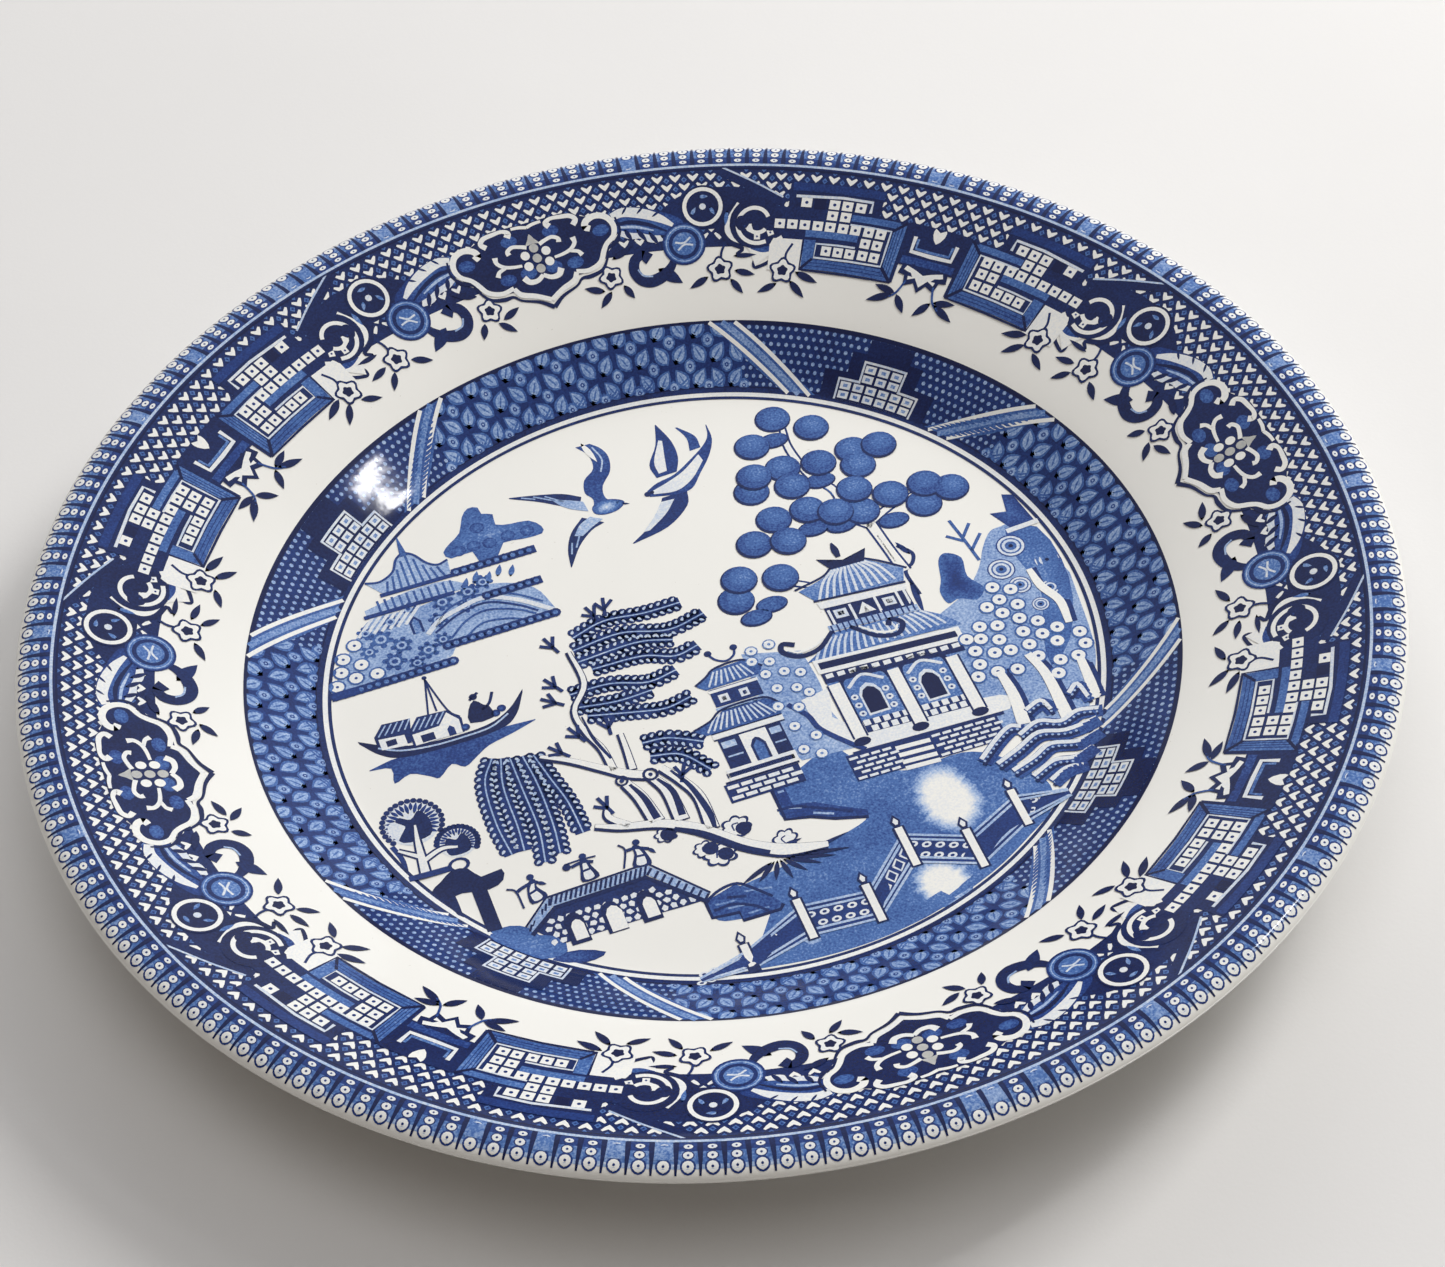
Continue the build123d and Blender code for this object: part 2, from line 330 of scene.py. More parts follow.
glaze_paint = Paint("clear_glaze_on_white_clay", Roughness=0.08, IOR=1.52, Specular_IOR_Level=0.5)
glaze_tone = glaze_paint.mix(glaze_paint.noise(35.0, 3.0), (0.80, 0.795, 0.75, 1), (0.85, 0.845, 0.805, 1))
glaze_specks = glaze_paint.noise(0.9, 1.0) > 0.80
glaze_tone = glaze_paint.mix(glaze_specks * 0.25, glaze_tone, (0.35, 0.29, 0.22, 1))
glaze_ripple = glaze_paint.noise(9.0, 2.0) + glaze_paint.noise(1.6, 1.0) * 0.12
glaze_rough = glaze_paint.noise(14.0, 2.0) * 0.06 + 0.05
glaze_paint.feed(Base_Color=glaze_tone, Roughness=glaze_rough, Normal=glaze_paint.bump(glaze_ripple, 0.00006))
glazed_plate = lathe("glazed_plate", plate_profile, plate_turns, glaze_paint.material)
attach(glazed_plate, "root")
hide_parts("plate_body", "outer_glaze", "base_glaze")


# Bare foot ring. The narrow ring that the plate stands on is wiped free of
# glaze before firing, so fine grainy biscuit clay shows there, a little stained.
bare_profile = np.array([
    (72.5, 1.3), (72.55, 0.75), (72.75, 0.3), (73.1, 0.06), (73.6, 0.0), (74.8, 0.0), (75.3, 0.06),
    (75.65, 0.3), (75.85, 0.75), (75.9, 1.3)])
bare_steps = 360
bare_angles = np.linspace(0, 2 * np.pi, bare_steps + 1)[:-1]
bare_ring = np.stack([
    bare_profile[:, :1] * np.sin(bare_angles), bare_profile[:, :1] * np.cos(bare_angles),
    np.repeat(bare_profile[:, 1:], bare_steps, axis=1)], axis=-1).reshape(-1, 3)
bare_here = np.arange(len(bare_ring)).reshape(len(bare_profile), bare_steps)
bare_next = np.roll(bare_here, -1, axis=0)
bare_faces = np.stack([
    bare_here, bare_next, np.roll(bare_next, -1, axis=1), np.roll(bare_here, -1, axis=1)],
    axis=-1).reshape(-1, 4)
biscuit_paint = Paint("bare_biscuit_clay", Roughness=0.85, Specular_IOR_Level=0.3)
biscuit_tone = biscuit_paint.mix(biscuit_paint.noise(12.0, 3.0), (0.62, 0.55, 0.44, 1), (0.74, 0.69, 0.60, 1))
biscuit_tone = biscuit_paint.mix(biscuit_paint.noise(0.6, 2.0) * 0.35, biscuit_tone, (0.33, 0.26, 0.18, 1))
biscuit_paint.feed(Base_Color=biscuit_tone, Normal=biscuit_paint.bump(biscuit_paint.noise(0.35), 0.00008))
bare_foot = build("bare_foot_ring", bare_ring, bare_faces, biscuit_paint.material)
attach(bare_foot, "root")


# Blue print. The pattern is printed in cobalt from an engraved copper plate on
# tissue, laid on the clay and then glazed over. Each mark is a thin leaf of
# colour that follows the plate's face, and later marks lie just above earlier ones.
class Marks:
    """Flat marks in plan: points in mm, faces, and each point's ink (0 white, 1 navy) and printing level."""

    def __init__(self, points, ink, faces, level=0):
        self.points = np.asarray(points, float).reshape(-1, 2)
        self.ink = np.broadcast_to(ink, len(self.points)).astype(float)
        self.faces = faces
        self.level = np.broadcast_to(level, len(self.points)).astype(float)

    def __add__(self, other):
        """Both sets of marks, side by side."""
        faces = np.where(other.faces >= 0, other.faces + len(self.points), -1)
        points = np.vstack([self.points, other.points])
        ink = np.concatenate([self.ink, other.ink])
        return Marks(points, ink, np.vstack([self.faces, faces]), np.concatenate([self.level, other.level]))

    def __or__(self, other):
        """These marks with the others printed over them."""
        above = self.level.max() + 1
        return self + Marks(other.points, other.ink, other.faces, other.level + above)

    def at(self, places, turn=0.0, size=1.0):
        """A copy at each place, turned and sized about the marks' own origin."""
        places = np.asarray(places, float).reshape(-1, 2)
        turn = np.broadcast_to(np.radians(turn), len(places))[:, None]
        size = np.broadcast_to(size, len(places))[:, None]
        x, y = self.points.T
        copies_x = places[:, :1] + size * (np.cos(turn) * x - np.sin(turn) * y)
        copies_y = places[:, 1:] + size * (np.sin(turn) * x + np.cos(turn) * y)
        shift = len(self.points) * np.arange(len(places))[:, None, None]
        faces = np.where(self.faces[None] >= 0, self.faces[None] + shift, -1).reshape(-1, 4)
        points = np.stack([copies_x, copies_y], axis=-1)
        return Marks(points, np.tile(self.ink, len(places)), faces, np.tile(self.level, len(places)))

    def turned(self, *degrees):
        """Copies turned clockwise about the plate's centre by each angle."""
        return self.at(np.zeros((len(degrees), 2)), -np.array(degrees, float))

    def mirrored(self):
        """These marks and their mirror image across the Y axis."""
        return self + Marks(self.points * (-1, 1), self.ink, self.faces, self.level)

    def wrapped(self, at_radius):
        """Marks drawn as (length along the ring, radius) laid round the plate's centre."""
        angle = self.points[:, 0] / at_radius
        radius = self.points[:, 1]
        points = np.stack([radius * np.sin(angle), radius * np.cos(angle)], axis=-1)
        return Marks(points, self.ink, self.faces, self.level)


def spline(points, steps=5, closed=False):
    """A smooth curve through points: each span is the Catmull-Rom cubic of its four nearest points."""
    line = np.asarray(points, float)
    if closed:
        line = np.vstack([line[-1:], line, line[:2]])
    else:
        line = np.vstack([2 * line[0] - line[1], line, 2 * line[-1] - line[-2]])
    t = np.linspace(0, 1, steps, endpoint=False)[None, :, None]
    a, b, c, d = (line[i:len(line) - 3 + i, None] for i in range(4))
    curve = b + t * (c - a) / 2 + t**2 * (2 * a - 5 * b + 4 * c - d) / 2 + t**3 * (3 * b - a - 3 * c + d) / 2
    curve = curve.reshape(-1, line.shape[1])
    return curve if closed else np.vstack([curve, line[-2:-1]])


def grid(points, ink=1.0):
    """Marks from grids of points (…, rows, columns, 2)."""
    rows, columns = points.shape[-3:-1]
    copies = int(np.prod(points.shape[:-3]))
    return Marks(points.reshape(-1, 2), np.broadcast_to(ink, points.shape[:-1]).ravel(),
                 quads(rows, columns, copies))


def stroke(points, width=0.5, ink=1.0, steps=5):
    """A band along a smooth curve: half the width to each side, a third column being its own width."""
    line = spline(points, steps)
    half = (line[:, 2] if line.shape[1] > 2 else np.full(len(line), width)) / 2
    way = np.gradient(line[:, :2], axis=0)
    side = np.stack([-way[:, 1], way[:, 0]], axis=-1) / np.maximum(np.linalg.norm(way, axis=1), 1e-9)[:, None]
    offset = side * half[:, None]
    return grid(np.stack([line[:, :2] - offset, line[:, :2] + offset], axis=1), ink)


def lines(points, width=0.5, ink=1.0):
    """A band along straight runs from point to point."""
    return stroke(points, width, ink, steps=1)


def patch(points, ink=1.0, core=None, steps=4, rings=1):
    """A filled outline: rings shrink from the closed curve to its middle, where the ink is core."""
    outline = spline(points, steps, closed=True) if steps > 1 else np.asarray(points, float)
    middle = outline.mean(axis=0)
    count = len(outline)
    core = ink if core is None else core
    reach = np.linspace(1, 0, rings + 1)[:-1]
    shells = middle + reach[:, None, None] * (outline - middle)
    inks = core + (ink - core) * np.repeat(reach, count)
    here = np.arange(rings * count).reshape(rings, count)
    ahead = np.roll(here, -1, axis=1)
    sides = np.stack([here[:-1], ahead[:-1], ahead[1:], here[1:]], axis=-1).reshape(-1, 4)
    centre = np.full(count, rings * count)
    fan = np.stack([here[-1], ahead[-1], centre, np.full(count, -1)], axis=-1)
    all_points = np.vstack([shells.reshape(-1, 2), middle])
    return Marks(all_points, np.append(inks, core), np.vstack([sides, fan]))


def ruled(left, right, ink=1.0, steps=4, across=2):
    """A fill between two smooth curves with the same number of points."""
    left_line = spline(left, steps) if steps > 1 else np.asarray(left, float)
    right_line = spline(right, steps) if steps > 1 else np.asarray(right, float)
    t = np.linspace(0, 1, across)[None, :, None]
    return grid(left_line[:, None] * (1 - t) + right_line[:, None] * t, ink)


def disc(radius, ink=1.0, core=None, sides=14, flat=1.0):
    """A round spot about the origin; flat is its height as a share of its width."""
    angle = np.linspace(0, 2 * np.pi, sides, endpoint=False)
    return patch(np.stack([radius * np.sin(angle), flat * radius * np.cos(angle)], axis=-1), ink, core,
                 steps=1)


def ring(outer, inner, ink=1.0, sides=18, flat=1.0):
    """A round band about the origin."""
    angle = np.linspace(0, 2 * np.pi, sides + 1)
    circle = np.stack([np.sin(angle), flat * np.cos(angle)], axis=-1)
    return grid(np.stack([outer * circle, inner * circle], axis=0), ink)


def block(x0, x1, y0, y1, ink=1.0, most=3.0):
    """A rectangle from x0 to x1 and y0 to y1, in pieces of at most a few mm."""
    x = np.linspace(x0, x1, max(2, 1 + math.ceil(abs(x1 - x0) / most)))
    y = np.linspace(y0, y1, max(2, 1 + math.ceil(abs(y1 - y0) / most)))
    grid_x, grid_y = np.meshgrid(x, y)
    return grid(np.stack([grid_x, grid_y], axis=-1), ink)


def together(marks):
    """Many sets of marks side by side as one."""
    shifts = np.cumsum([0] + [len(one.points) for one in marks[:-1]])
    faces = np.vstack([np.where(one.faces >= 0, one.faces + shift, -1) for one, shift in zip(marks, shifts)])
    points = np.vstack([one.points for one in marks])
    ink, level = (np.concatenate([getattr(one, kind) for one in marks]) for kind in ("ink", "level"))
    return Marks(points, ink, faces, level)


def leaf(start, end, width, ink=1.0):
    """A pointed oval from start to end: its width follows a half wave."""
    t = np.linspace(0, 1, 8)[:, None]
    start, end = np.array(start, float), np.array(end, float)
    way = (end - start) / np.linalg.norm(end - start)
    offset = np.array([-way[1], way[0]]) * np.sin(np.pi * t ** 0.85) * width / 2
    line = start + (end - start) * t
    return grid(np.stack([line - offset, line + offset], axis=1), ink)


def band(inner, outer, start, end, ink=1.0, rows=2, columns=None):
    """Part of a flat ring between two radii and two angles in degrees."""
    columns = columns or max(3, int(abs(end - start) / 1.0))
    radius, angle = np.meshgrid(np.linspace(inner, outer, rows), np.radians(np.linspace(start, end, columns)))
    return grid(np.stack([radius * np.sin(angle), radius * np.cos(angle)], axis=-1), ink)


print_lift = 0.035
level_step = 0.010

print_paint = Paint("cobalt_print_under_glaze", Roughness=0.08, IOR=1.52, Specular_IOR_Level=0.5)
print_ink = print_paint.node("ShaderNodeAttribute", {"attribute_name": "ink"}, out="Fac")
print_middle = print_ink * (1 - print_ink) * 4
print_grain = (print_paint.noise(0.45, 2.0) - 0.5) * 0.62 + (print_paint.noise(9.0, 2.0) - 0.5) * 0.30
print_tone = print_ink + print_grain * (print_middle * 0.8 + 0.2)
print_colour = print_paint.node("ShaderNodeValToRGB", {"stops": [
    (0.0, (0.84, 0.835, 0.79)), (0.25, (0.36, 0.48, 0.70)), (0.5, (0.070, 0.165, 0.43)),
    (0.75, (0.014, 0.045, 0.21)), (1.0, (0.004, 0.009, 0.055))]}, [print_tone])
print_ripple = print_paint.noise(9.0, 2.0) + print_paint.noise(1.6, 1.0) * 0.12
print_rough = print_paint.noise(14.0, 2.0) * 0.06 + 0.05
print_paint.feed(Base_Color=print_colour, Roughness=print_rough,
                 Normal=print_paint.bump(print_ripple, 0.00006))


def press(name, node, *layers, level=0):
    """Lays marks on the plate's face, each layer a hair above the last, and makes them one piece."""
    marks = layers[0]
    for layer in layers[1:]:
        marks = marks | layer
    x, y = marks.points.T
    a, b, c = (marks.points[marks.faces[:, i]] for i in range(3))
    turned_over = (b[:, 0] - a[:, 0]) * (c[:, 1] - a[:, 1]) < (b[:, 1] - a[:, 1]) * (c[:, 0] - a[:, 0])
    is_four = marks.faces[:, 3] >= 0
    faces = marks.faces.copy()
    faces[turned_over & is_four] = faces[turned_over & is_four][:, ::-1]
    faces[turned_over & ~is_four] = faces[turned_over & ~is_four][:, [1, 0, 2, 3]]
    z = face_height(np.hypot(x, y)) + print_lift + (marks.level + level) * level_step
    points = np.stack([x, y, z], axis=-1)
    piece = build(name, points, faces, print_paint.material, face_normal(x, y), marks.ink)
    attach(piece, "root")
    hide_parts(node)
    return piece


# Well ring. Two dark lines with a white one between them run round the edge
# of the flat well and frame the landscape.
whole_turn = (0, 360)
well_columns = 361
press(
    "well_ring", "well_ring_print",
    band(73.7, 76.4, *whole_turn, 0.92, rows=8, columns=well_columns),
    band(74.4, 75.35, *whole_turn, 0.04, rows=3, columns=well_columns), level=4)


# Inner band. The wall of the well carries a dark band: at each quarter a stepped
# block of white squares, then a fine net, a slanting ribbon, and between the
# ribbons a lattice of crossed petals with a ringed dot in every opening.
band_inner, band_outer, band_middle = 76.0, 89.4, 82.5
quarters = (0, 90, 180, 270)
corners = (45, 135, 225, 315)
petal_pitch = 3.9
petal_ink, white_ink, dark_ink = 0.60, 0.02, 0.97
petal = leaf((-1.24, -1.94), (1.24, 1.94), 3.1, petal_ink) | leaf((-1.0, -1.6), (1.0, 1.6), 2.0, 0.36) \
    | leaf((-0.7, -1.1), (0.7, 1.1), 0.4, 0.56)
flipped_petal = Marks(petal.points * (-1, 1), petal.ink, petal.faces, petal.level)
lattice_columns = np.arange(-8.5, 9.5) * petal_pitch
falling = np.arange(len(lattice_columns)) % 2 == 0
petal_rows = []
for row, row_radius in enumerate((78.5, 83.3, 88.0)):
    straight = falling if row % 2 else ~falling
    centres = np.stack([lattice_columns, np.full(len(lattice_columns), row_radius)], axis=-1)
    petal_rows.append(petal.at(centres[straight]) + flipped_petal.at(centres[~straight]))
gem = disc(1.3, 0.6, sides=8, flat=1.15) | disc(0.95, 0.36, sides=8, flat=1.15) | disc(0.5, 0.72, sides=6) \
    | disc(0.2, 0.3, sides=5)
gem_places = [(k * 2 * petal_pitch, 80.9) for k in range(-4, 5)]
gem_places += [((k + 0.5) * 2 * petal_pitch, r) for k in range(-5, 5) for r in (76.9, 85.7)]
lattice = together(petal_rows) + gem.at(gem_places)
lattice.points[:, 1] = np.clip(lattice.points[:, 1], band_inner + 0.5, band_outer - 0.6)
lattice = lattice.wrapped(band_middle)
keep_lattice = np.abs(lattice.points[:, 0]) < 35.0
lattice.faces = lattice.faces[np.where(lattice.faces >= 0, keep_lattice[lattice.faces], True).all(axis=1)]

net_x, net_r = np.meshgrid(np.arange(-30, 30.1, 1.55), np.arange(77.2, 89, 1.55))
net_x = net_x + 0.775 * (np.round((net_r - 77.2) / 1.55) % 2)
net = disc(0.42, 0.34, sides=6).at(np.stack([net_x.ravel(), net_r.ravel()], axis=-1)).wrapped(band_middle)

ribbon = ruled([(13.4, 76.1), (22.0, 81.5), (32.0, 88.9)], [(20.9, 76.1), (29.0, 81.5), (37.0, 88.9)], 0.62,
               steps=9, across=3)
ribbon_lines = []
for shift, thickness, strength in ((1.2, 0.8, white_ink), (3.7, 1.2, 0.42), (6.2, 0.8, white_ink)):
    edge_line = [(13.4 + shift, 75.8), (21.4 + shift, 81.7), (30.9 + shift, 89.0)]
    ribbon_lines.append(stroke(edge_line, thickness, strength, steps=9))
ribbon = (ribbon | together(ribbon_lines)).mirrored().wrapped(band_middle)

field = block(-12.4, 12.4, 76.1, 81.6, dark_ink, most=0.7) + block(-7.6, 7.6, 81.6, 85.6, dark_ink)
field = field + block(-4.6, 4.6, 85.6, 88.4, dark_ink)
panel = block(-9.2, 9.2, 76.1, 80.4, 0.12, most=0.7) + block(-4.7, 4.7, 80.4, 84.3, 0.12)
panel_lines = block(-8.75, 8.75, 76.1, 79.95, dark_ink, most=0.7) \
    + block(-4.25, 4.25, 79.8, 83.85, dark_ink, most=2.5)
square = block(-1.15, 1.15, -0.72, 0.72, 0.08, most=0.7) | block(-0.5, 0.5, -0.3, 0.3, 0.4, most=0.7)
square_places = [(x, r) for r in (77.2, 79.0) for x in (-7.25, -4.35, -1.45, 1.45, 4.35, 7.25)]
square_places += [(x, r) for r in (80.95, 82.8) for x in (-2.9, 0.0, 2.9)]
stepped = [layer.wrapped(band_middle).turned(*corners)
           for layer in (field, panel, panel_lines, square.at(square_places))]

press(
    "inner_band_ground", "inner_band_print",
    band(band_inner, band_outer, *whole_turn, 0.86, rows=28, columns=well_columns),
    band(band_outer - 0.9, band_outer, *whole_turn, 1.0, columns=well_columns)
    + band(band_inner, band_inner + 0.7, *whole_turn, 1.0, columns=well_columns))
press("petal_lattice", "inner_band_print", lattice.turned(*quarters), level=2)
press("fine_net", "inner_band_print", net.turned(*corners), ribbon.turned(*corners), level=4)
press("stepped_blocks", "inner_band_print", *stepped, level=7)


# Border ground. Most of the sloping rim is covered by a net of small white
# hearts, points inward, on dark blue, two hundred to the turn in staggered rows.
hearts_round = 200
rim_columns = 481
heart = patch([
    (0, -0.95), (0.72, -0.25), (1.25, 0.55), (0.95, 0.85), (0.5, 0.6), (0, 0.05), (-0.5, 0.6), (-0.95, 0.85),
    (-1.25, 0.55), (-0.72, -0.25)], white_ink, steps=1)
diamond = disc(0.62, 0.5, 0.75, sides=4, flat=1.1) | disc(0.2, 0.9, sides=4)
heart_angles = np.arange(hearts_round) * 360.0 / hearts_round
ground_marks = []
for row, row_radius in enumerate((120.5, 118.5, 116.5, 114.6, 112.7, 110.9, 109.1, 107.4)):
    angles = heart_angles + (row % 2) * 180.0 / hearts_round
    size = row_radius / 120.5
    ground_marks.append(heart.at([(0, row_radius)], 0, size).turned(*angles))
    ground_marks.append(diamond.at([(0, row_radius + 1.55)], 0, size).turned(*angles))
press(
    "border_ground", "rim_border_print",
    band(105.0, 122.75, *whole_turn, 0.93, rows=10, columns=rim_columns),
    together(ground_marks),
    band(121.9, 122.6, *whole_turn, 1.0, columns=rim_columns))


def sector(name, level, *layers, frame_turn=0.0):
    """Presses one half sector's marks at all four quarters, each with its mirror image."""
    ready = [layer.at([(0, 0)], -frame_turn).mirrored().turned(*quarters) for layer in layers]
    return press(name, "rim_border_print", *ready, level=level)


# Cartouches. Four dark ogee panels edged with a white strapwork line that curls
# at the shoulders, with a white spray of beads and scrolls in the middle.
ogee_half = [
    (0, 99.2), (3, 100.9), (6.5, 102.4), (9.5, 102.5), (12.2, 103.8), (13.5, 105.8), (16.4, 107.4),
    (17.7, 109.6),
    (17.4, 112), (15.8, 113.7), (13.2, 113.9), (11.2, 114.8), (8.5, 116.2), (5, 116.2), (0, 115.9)]
cartouche_body = ruled([(0, y) for _, y in ogee_half], ogee_half, 0.96, steps=3, across=7)
outer_line = stroke([
    (0, 97.3, 1.0), (2.6, 99.1, 0.7), (6, 100.3, 0.5), (7.6, 101.5, 0.6), (9.5, 101.4, 0.9), (12.3, 102, 0.7),
    (14.2, 104.2, 0.5), (14.8, 105.9, 0.7), (17, 106.9, 0.8), (18.7, 109, 0.5), (18.6, 112, 0.4)], ink=0.97)
strap = stroke([
    (0, 98.9, 1.0), (3.0, 100.5, 1.1), (5.8, 101.5, 1.2), (6.9, 103.1, 1.0)], ink=white_ink)
strap = strap + stroke([
    (6.9, 103.3, 0.9), (9.6, 102.7, 1.0), (12.4, 103.6, 1.1), (13.9, 105.7, 1.1), (15.0, 107.0, 1.0),
    (17.0, 108.3, 1.1), (17.7, 110.4, 1.2), (16.8, 112.6, 1.3), (14.7, 113.6, 1.3), (12.6, 113.1, 1.4),
    (11.9, 111.9, 1.5), (12.8, 111.2, 1.3)], ink=white_ink)
strap = strap + stroke([
    (4.7, 114.2, 1.4), (4.2, 115.1, 1.2), (5.4, 115.8, 0.8), (7.6, 115.6, 0.9), (9.6, 115.2, 1.0),
    (10.5, 114.1, 1.1), (9.6, 113.1, 1.2)], ink=white_ink)
strap = strap + stroke([(0, 115.3, 0.7), (1.6, 115.7, 0.7), (3.3, 115.8, 0.6)], ink=white_ink)
spray = stroke([(1.4, 111.1, 0.9), (2.8, 111.6, 0.8), (4.4, 111.9, 0.8), (5.6, 111.2, 0.9),
                (5.5, 110.4, 1.1)], ink=white_ink)
spray = spray + stroke([
    (3.6, 107.5, 0.6), (5.6, 107.7, 0.7), (7.4, 108.2, 0.8), (8.6, 109.3, 0.9), (8.6, 110.6, 1.2)],
    ink=white_ink)
spray = spray + stroke([(7.2, 107.9, 0.7), (8.7, 107.3, 0.8), (9.3, 106.3, 1.1)], ink=white_ink)
spray = spray + stroke([
    (0, 104.5, 0.9), (1.5, 103.6, 1.0), (3.2, 103.7, 1.2), (4.1, 104.9, 1.4)], ink=white_ink)
beads = disc(0.98, white_ink).at([(0, 108.3), (2.3, 109.4), (2.3, 107.0), (0, 106.0), (0, 110.6)])
bud = patch([(0, 113.8), (0.7, 112.6), (1.5, 111.4), (0, 111.6), (-1.5, 111.4), (-0.7, 112.6)], white_ink,
            steps=2)
shoulder_tint = disc(1.8, 0.7, 0.62, flat=0.7).at([(4.6, 113.2), (14.8, 110.2), (7.4, 105.2), (2.8, 105.6)])
sector("cartouches", 9, cartouche_body + outer_line, shoulder_tint, strap, spray + beads + bud)


# Scrolling leaves. Beside each cartouche a curled dark leaf, a plumed white
# leaf, a blue disc, a ringed coin and a white spiral fill the way to the fret.
s_scroll = stroke([
    (22.4, 100.9, 2.6), (21.2, 102.3, 2.0), (19.4, 101.7, 2.2), (18.5, 99.6, 2.3), (19.2, 97.4, 2.4),
    (21.2, 96.3, 2.6), (24, 96.6, 2.4), (26.2, 97.9, 1.8), (27.6, 99.6, 1.2)], ink=0.95)
s_scroll = s_scroll + leaf((23.4, 98.4), (27.2, 93.7), 2.6, 0.93)
scroll_light = stroke([(19.3, 99.6, 0.35), (20.0, 98.0, 0.4), (21.8, 97.2, 0.35)], ink=0.3)
plume_back = patch([
    (17.9, 113.2), (20, 113.5), (24, 112.5), (28, 110), (31.5, 107), (31.2, 104.5), (28, 103.4),
    (25.2, 104.0),
    (22, 106), (19.5, 107.2), (17.8, 108.9), (17.2, 111)], 0.80, 0.6, rings=3)
plume_white = stroke([(17.9, 112.2, 1.6), (20.5, 112.4, 2.0), (24, 111.0, 2.2), (27.3, 108.7, 1.8),
                      (29.6, 106.2, 0.8)], ink=0.05)
plume_white = plume_white + stroke([(18.6, 108.2, 1.2), (20.4, 107.0, 1.4), (22.4, 106.3, 1.2),
                                    (24.4, 104.9, 1.6), (26.6, 104.3, 1.2)], ink=0.08)
plume_rib = stroke([(17.8, 110.4, 0.5), (21.5, 109.8, 0.9), (25, 107.9, 0.8), (28.2, 105.2, 0.3)], ink=0.97)
plume_rib = plume_rib + stroke([(18.6, 109.6, 0.5), (22, 108.5, 0.6), (25.4, 106.5, 0.3)], ink=0.25)
lobe_starts = [(19.6, 108.8), (22.0, 108.0), (24.3, 106.6), (26.3, 105.0)]
lobe_ends = [(20.4, 105.8), (23.3, 104.6), (25.4, 103.0), (28.6, 102.6)]
plume_lobes = None
for lobe_start, lobe_end in zip(lobe_starts, lobe_ends):
    lobe = leaf(lobe_start, lobe_end, 1.0, 0.95)
    plume_lobes = lobe if plume_lobes is None else plume_lobes + lobe
upper_ticks = [((20.2, 112.0), (22.0, 113.6)), ((23.2, 111.1), (25.4, 112.4)), ((26.0, 109.4), (28.4, 110.2))]
for tick_start, tick_end in upper_ticks:
    plume_lobes = plume_lobes + leaf(tick_start, tick_end, 0.5, 0.9)
disc_rings = ring(4.6, 4.15, 0.85, 28) + ring(3.9, 3.7, 0.3, 24) + ring(3.3, 2.5, 0.9, 24)
disc_cross = stroke([(-1.7, 0.9), (0, 0.2), (1.7, 0.9)], 0.4, 0.12) \
    + stroke([(-1.7, -0.9), (0, -0.2), (1.7, -0.9)], 0.4, 0.12)
blue_disc = disc(4.6, 0.55, 0.5, sides=28) | disc_rings + disc_cross
coin_place = (113.8 * math.sin(math.radians(18.9)), 113.8 * math.cos(math.radians(18.9)))
coin_lens = leaf((-1.0, 0), (1.0, 0), 0.8, 0.45)
coin = disc(4.75, 0.97, sides=28) | ring(4.3, 3.45, white_ink, 28) + disc(0.72, 0.1, sides=10) \
    + coin_lens.at([(0.2, 2.2), (2.0, -1.0), (-2.0, -1.0)], [0, -60, 60])
spiral_turn = np.linspace(0.0, 1.0, 26)
spiral_angle = np.radians(-62 - 470 * spiral_turn)
spiral_reach = 4.6 - 3.0 * spiral_turn
spiral_line = np.stack([
    spiral_reach * np.cos(spiral_angle), spiral_reach * np.sin(spiral_angle), 0.85
    + 0.5 * (spiral_turn > 0.9)], axis=-1)
spiral_back = disc(5.6, 0.96, sides=26)
spiral = stroke([(5.6, -3.2, 0.7), (3.9, -4.2, 0.8)], ink=white_ink, steps=3) \
    + stroke(spiral_line, ink=white_ink, steps=2)
bead_square = block(-0.75, 0.75, -0.75, 0.75, white_ink) | disc(0.28, 0.8, sides=6)
spiral = spiral + bead_square.at([(0.3, -3.0), (3.1, -2.2), (-2.4, -0.6)], [0, 20, 0], 0.85)

mid_turn = 22.5
flame = ruled(
    [(0.2, 114.6), (-1.6, 111.5), (-2.3, 108.6), (-0.9, 106.4), (2.6, 104.6), (4.4, 100.6)],
    [(0.9, 114.2), (0.4, 111.2), (-0.5, 108.6), (1.6, 106.5), (5.2, 105.0), (8.9, 104.3)], white_ink,
    across=3)
flame_edge = stroke([(-0.2, 115.2, 0.3), (-2.2, 111.5, 0.6), (-3.0, 108.6, 0.8), (-1.4, 105.9, 0.9),
                     (1.6, 104.5, 0.8),
                     (0.5, 103.2, 0.6), (4.3, 103.0, 0.6), (4.0, 101.2, 0.7), (4.7, 100.4, 0.7),
                     (8.2, 102.2, 0.8), (9.7, 105.2, 0.5)], ink=0.97)
flame_fold = stroke([(3.4, 104.8, 0.9), (6.0, 104.2, 1.3), (8.6, 104.6, 0.9)], ink=0.7) \
    + leaf((-1.9, 112.8), (-2.2, 109.5), 0.9, 0.5)
diagonal = stroke([(-4.8, 122.2), (3.0, 118.3), (10.5, 114.2)], 2.1, 0.95, steps=6)
diagonal_light = stroke([(-3.2, 122.4), (4.0, 118.9), (10.0, 115.5)], 0.4, 0.2, steps=6)
mid_ground = patch([
    (-16.5, 109.5), (-12.5, 110.5), (-8, 108.5), (-4.5, 108.8), (-2.5, 106.5), (1, 105.5), (3.5, 106),
    (9.6, 107.0),
    (9.8, 113), (3, 117.5), (-4, 118), (-10, 117), (-15, 113.5)], 0.95, 0.95, rings=4, steps=2)
spiral_at = [(4.3, 110.0)]
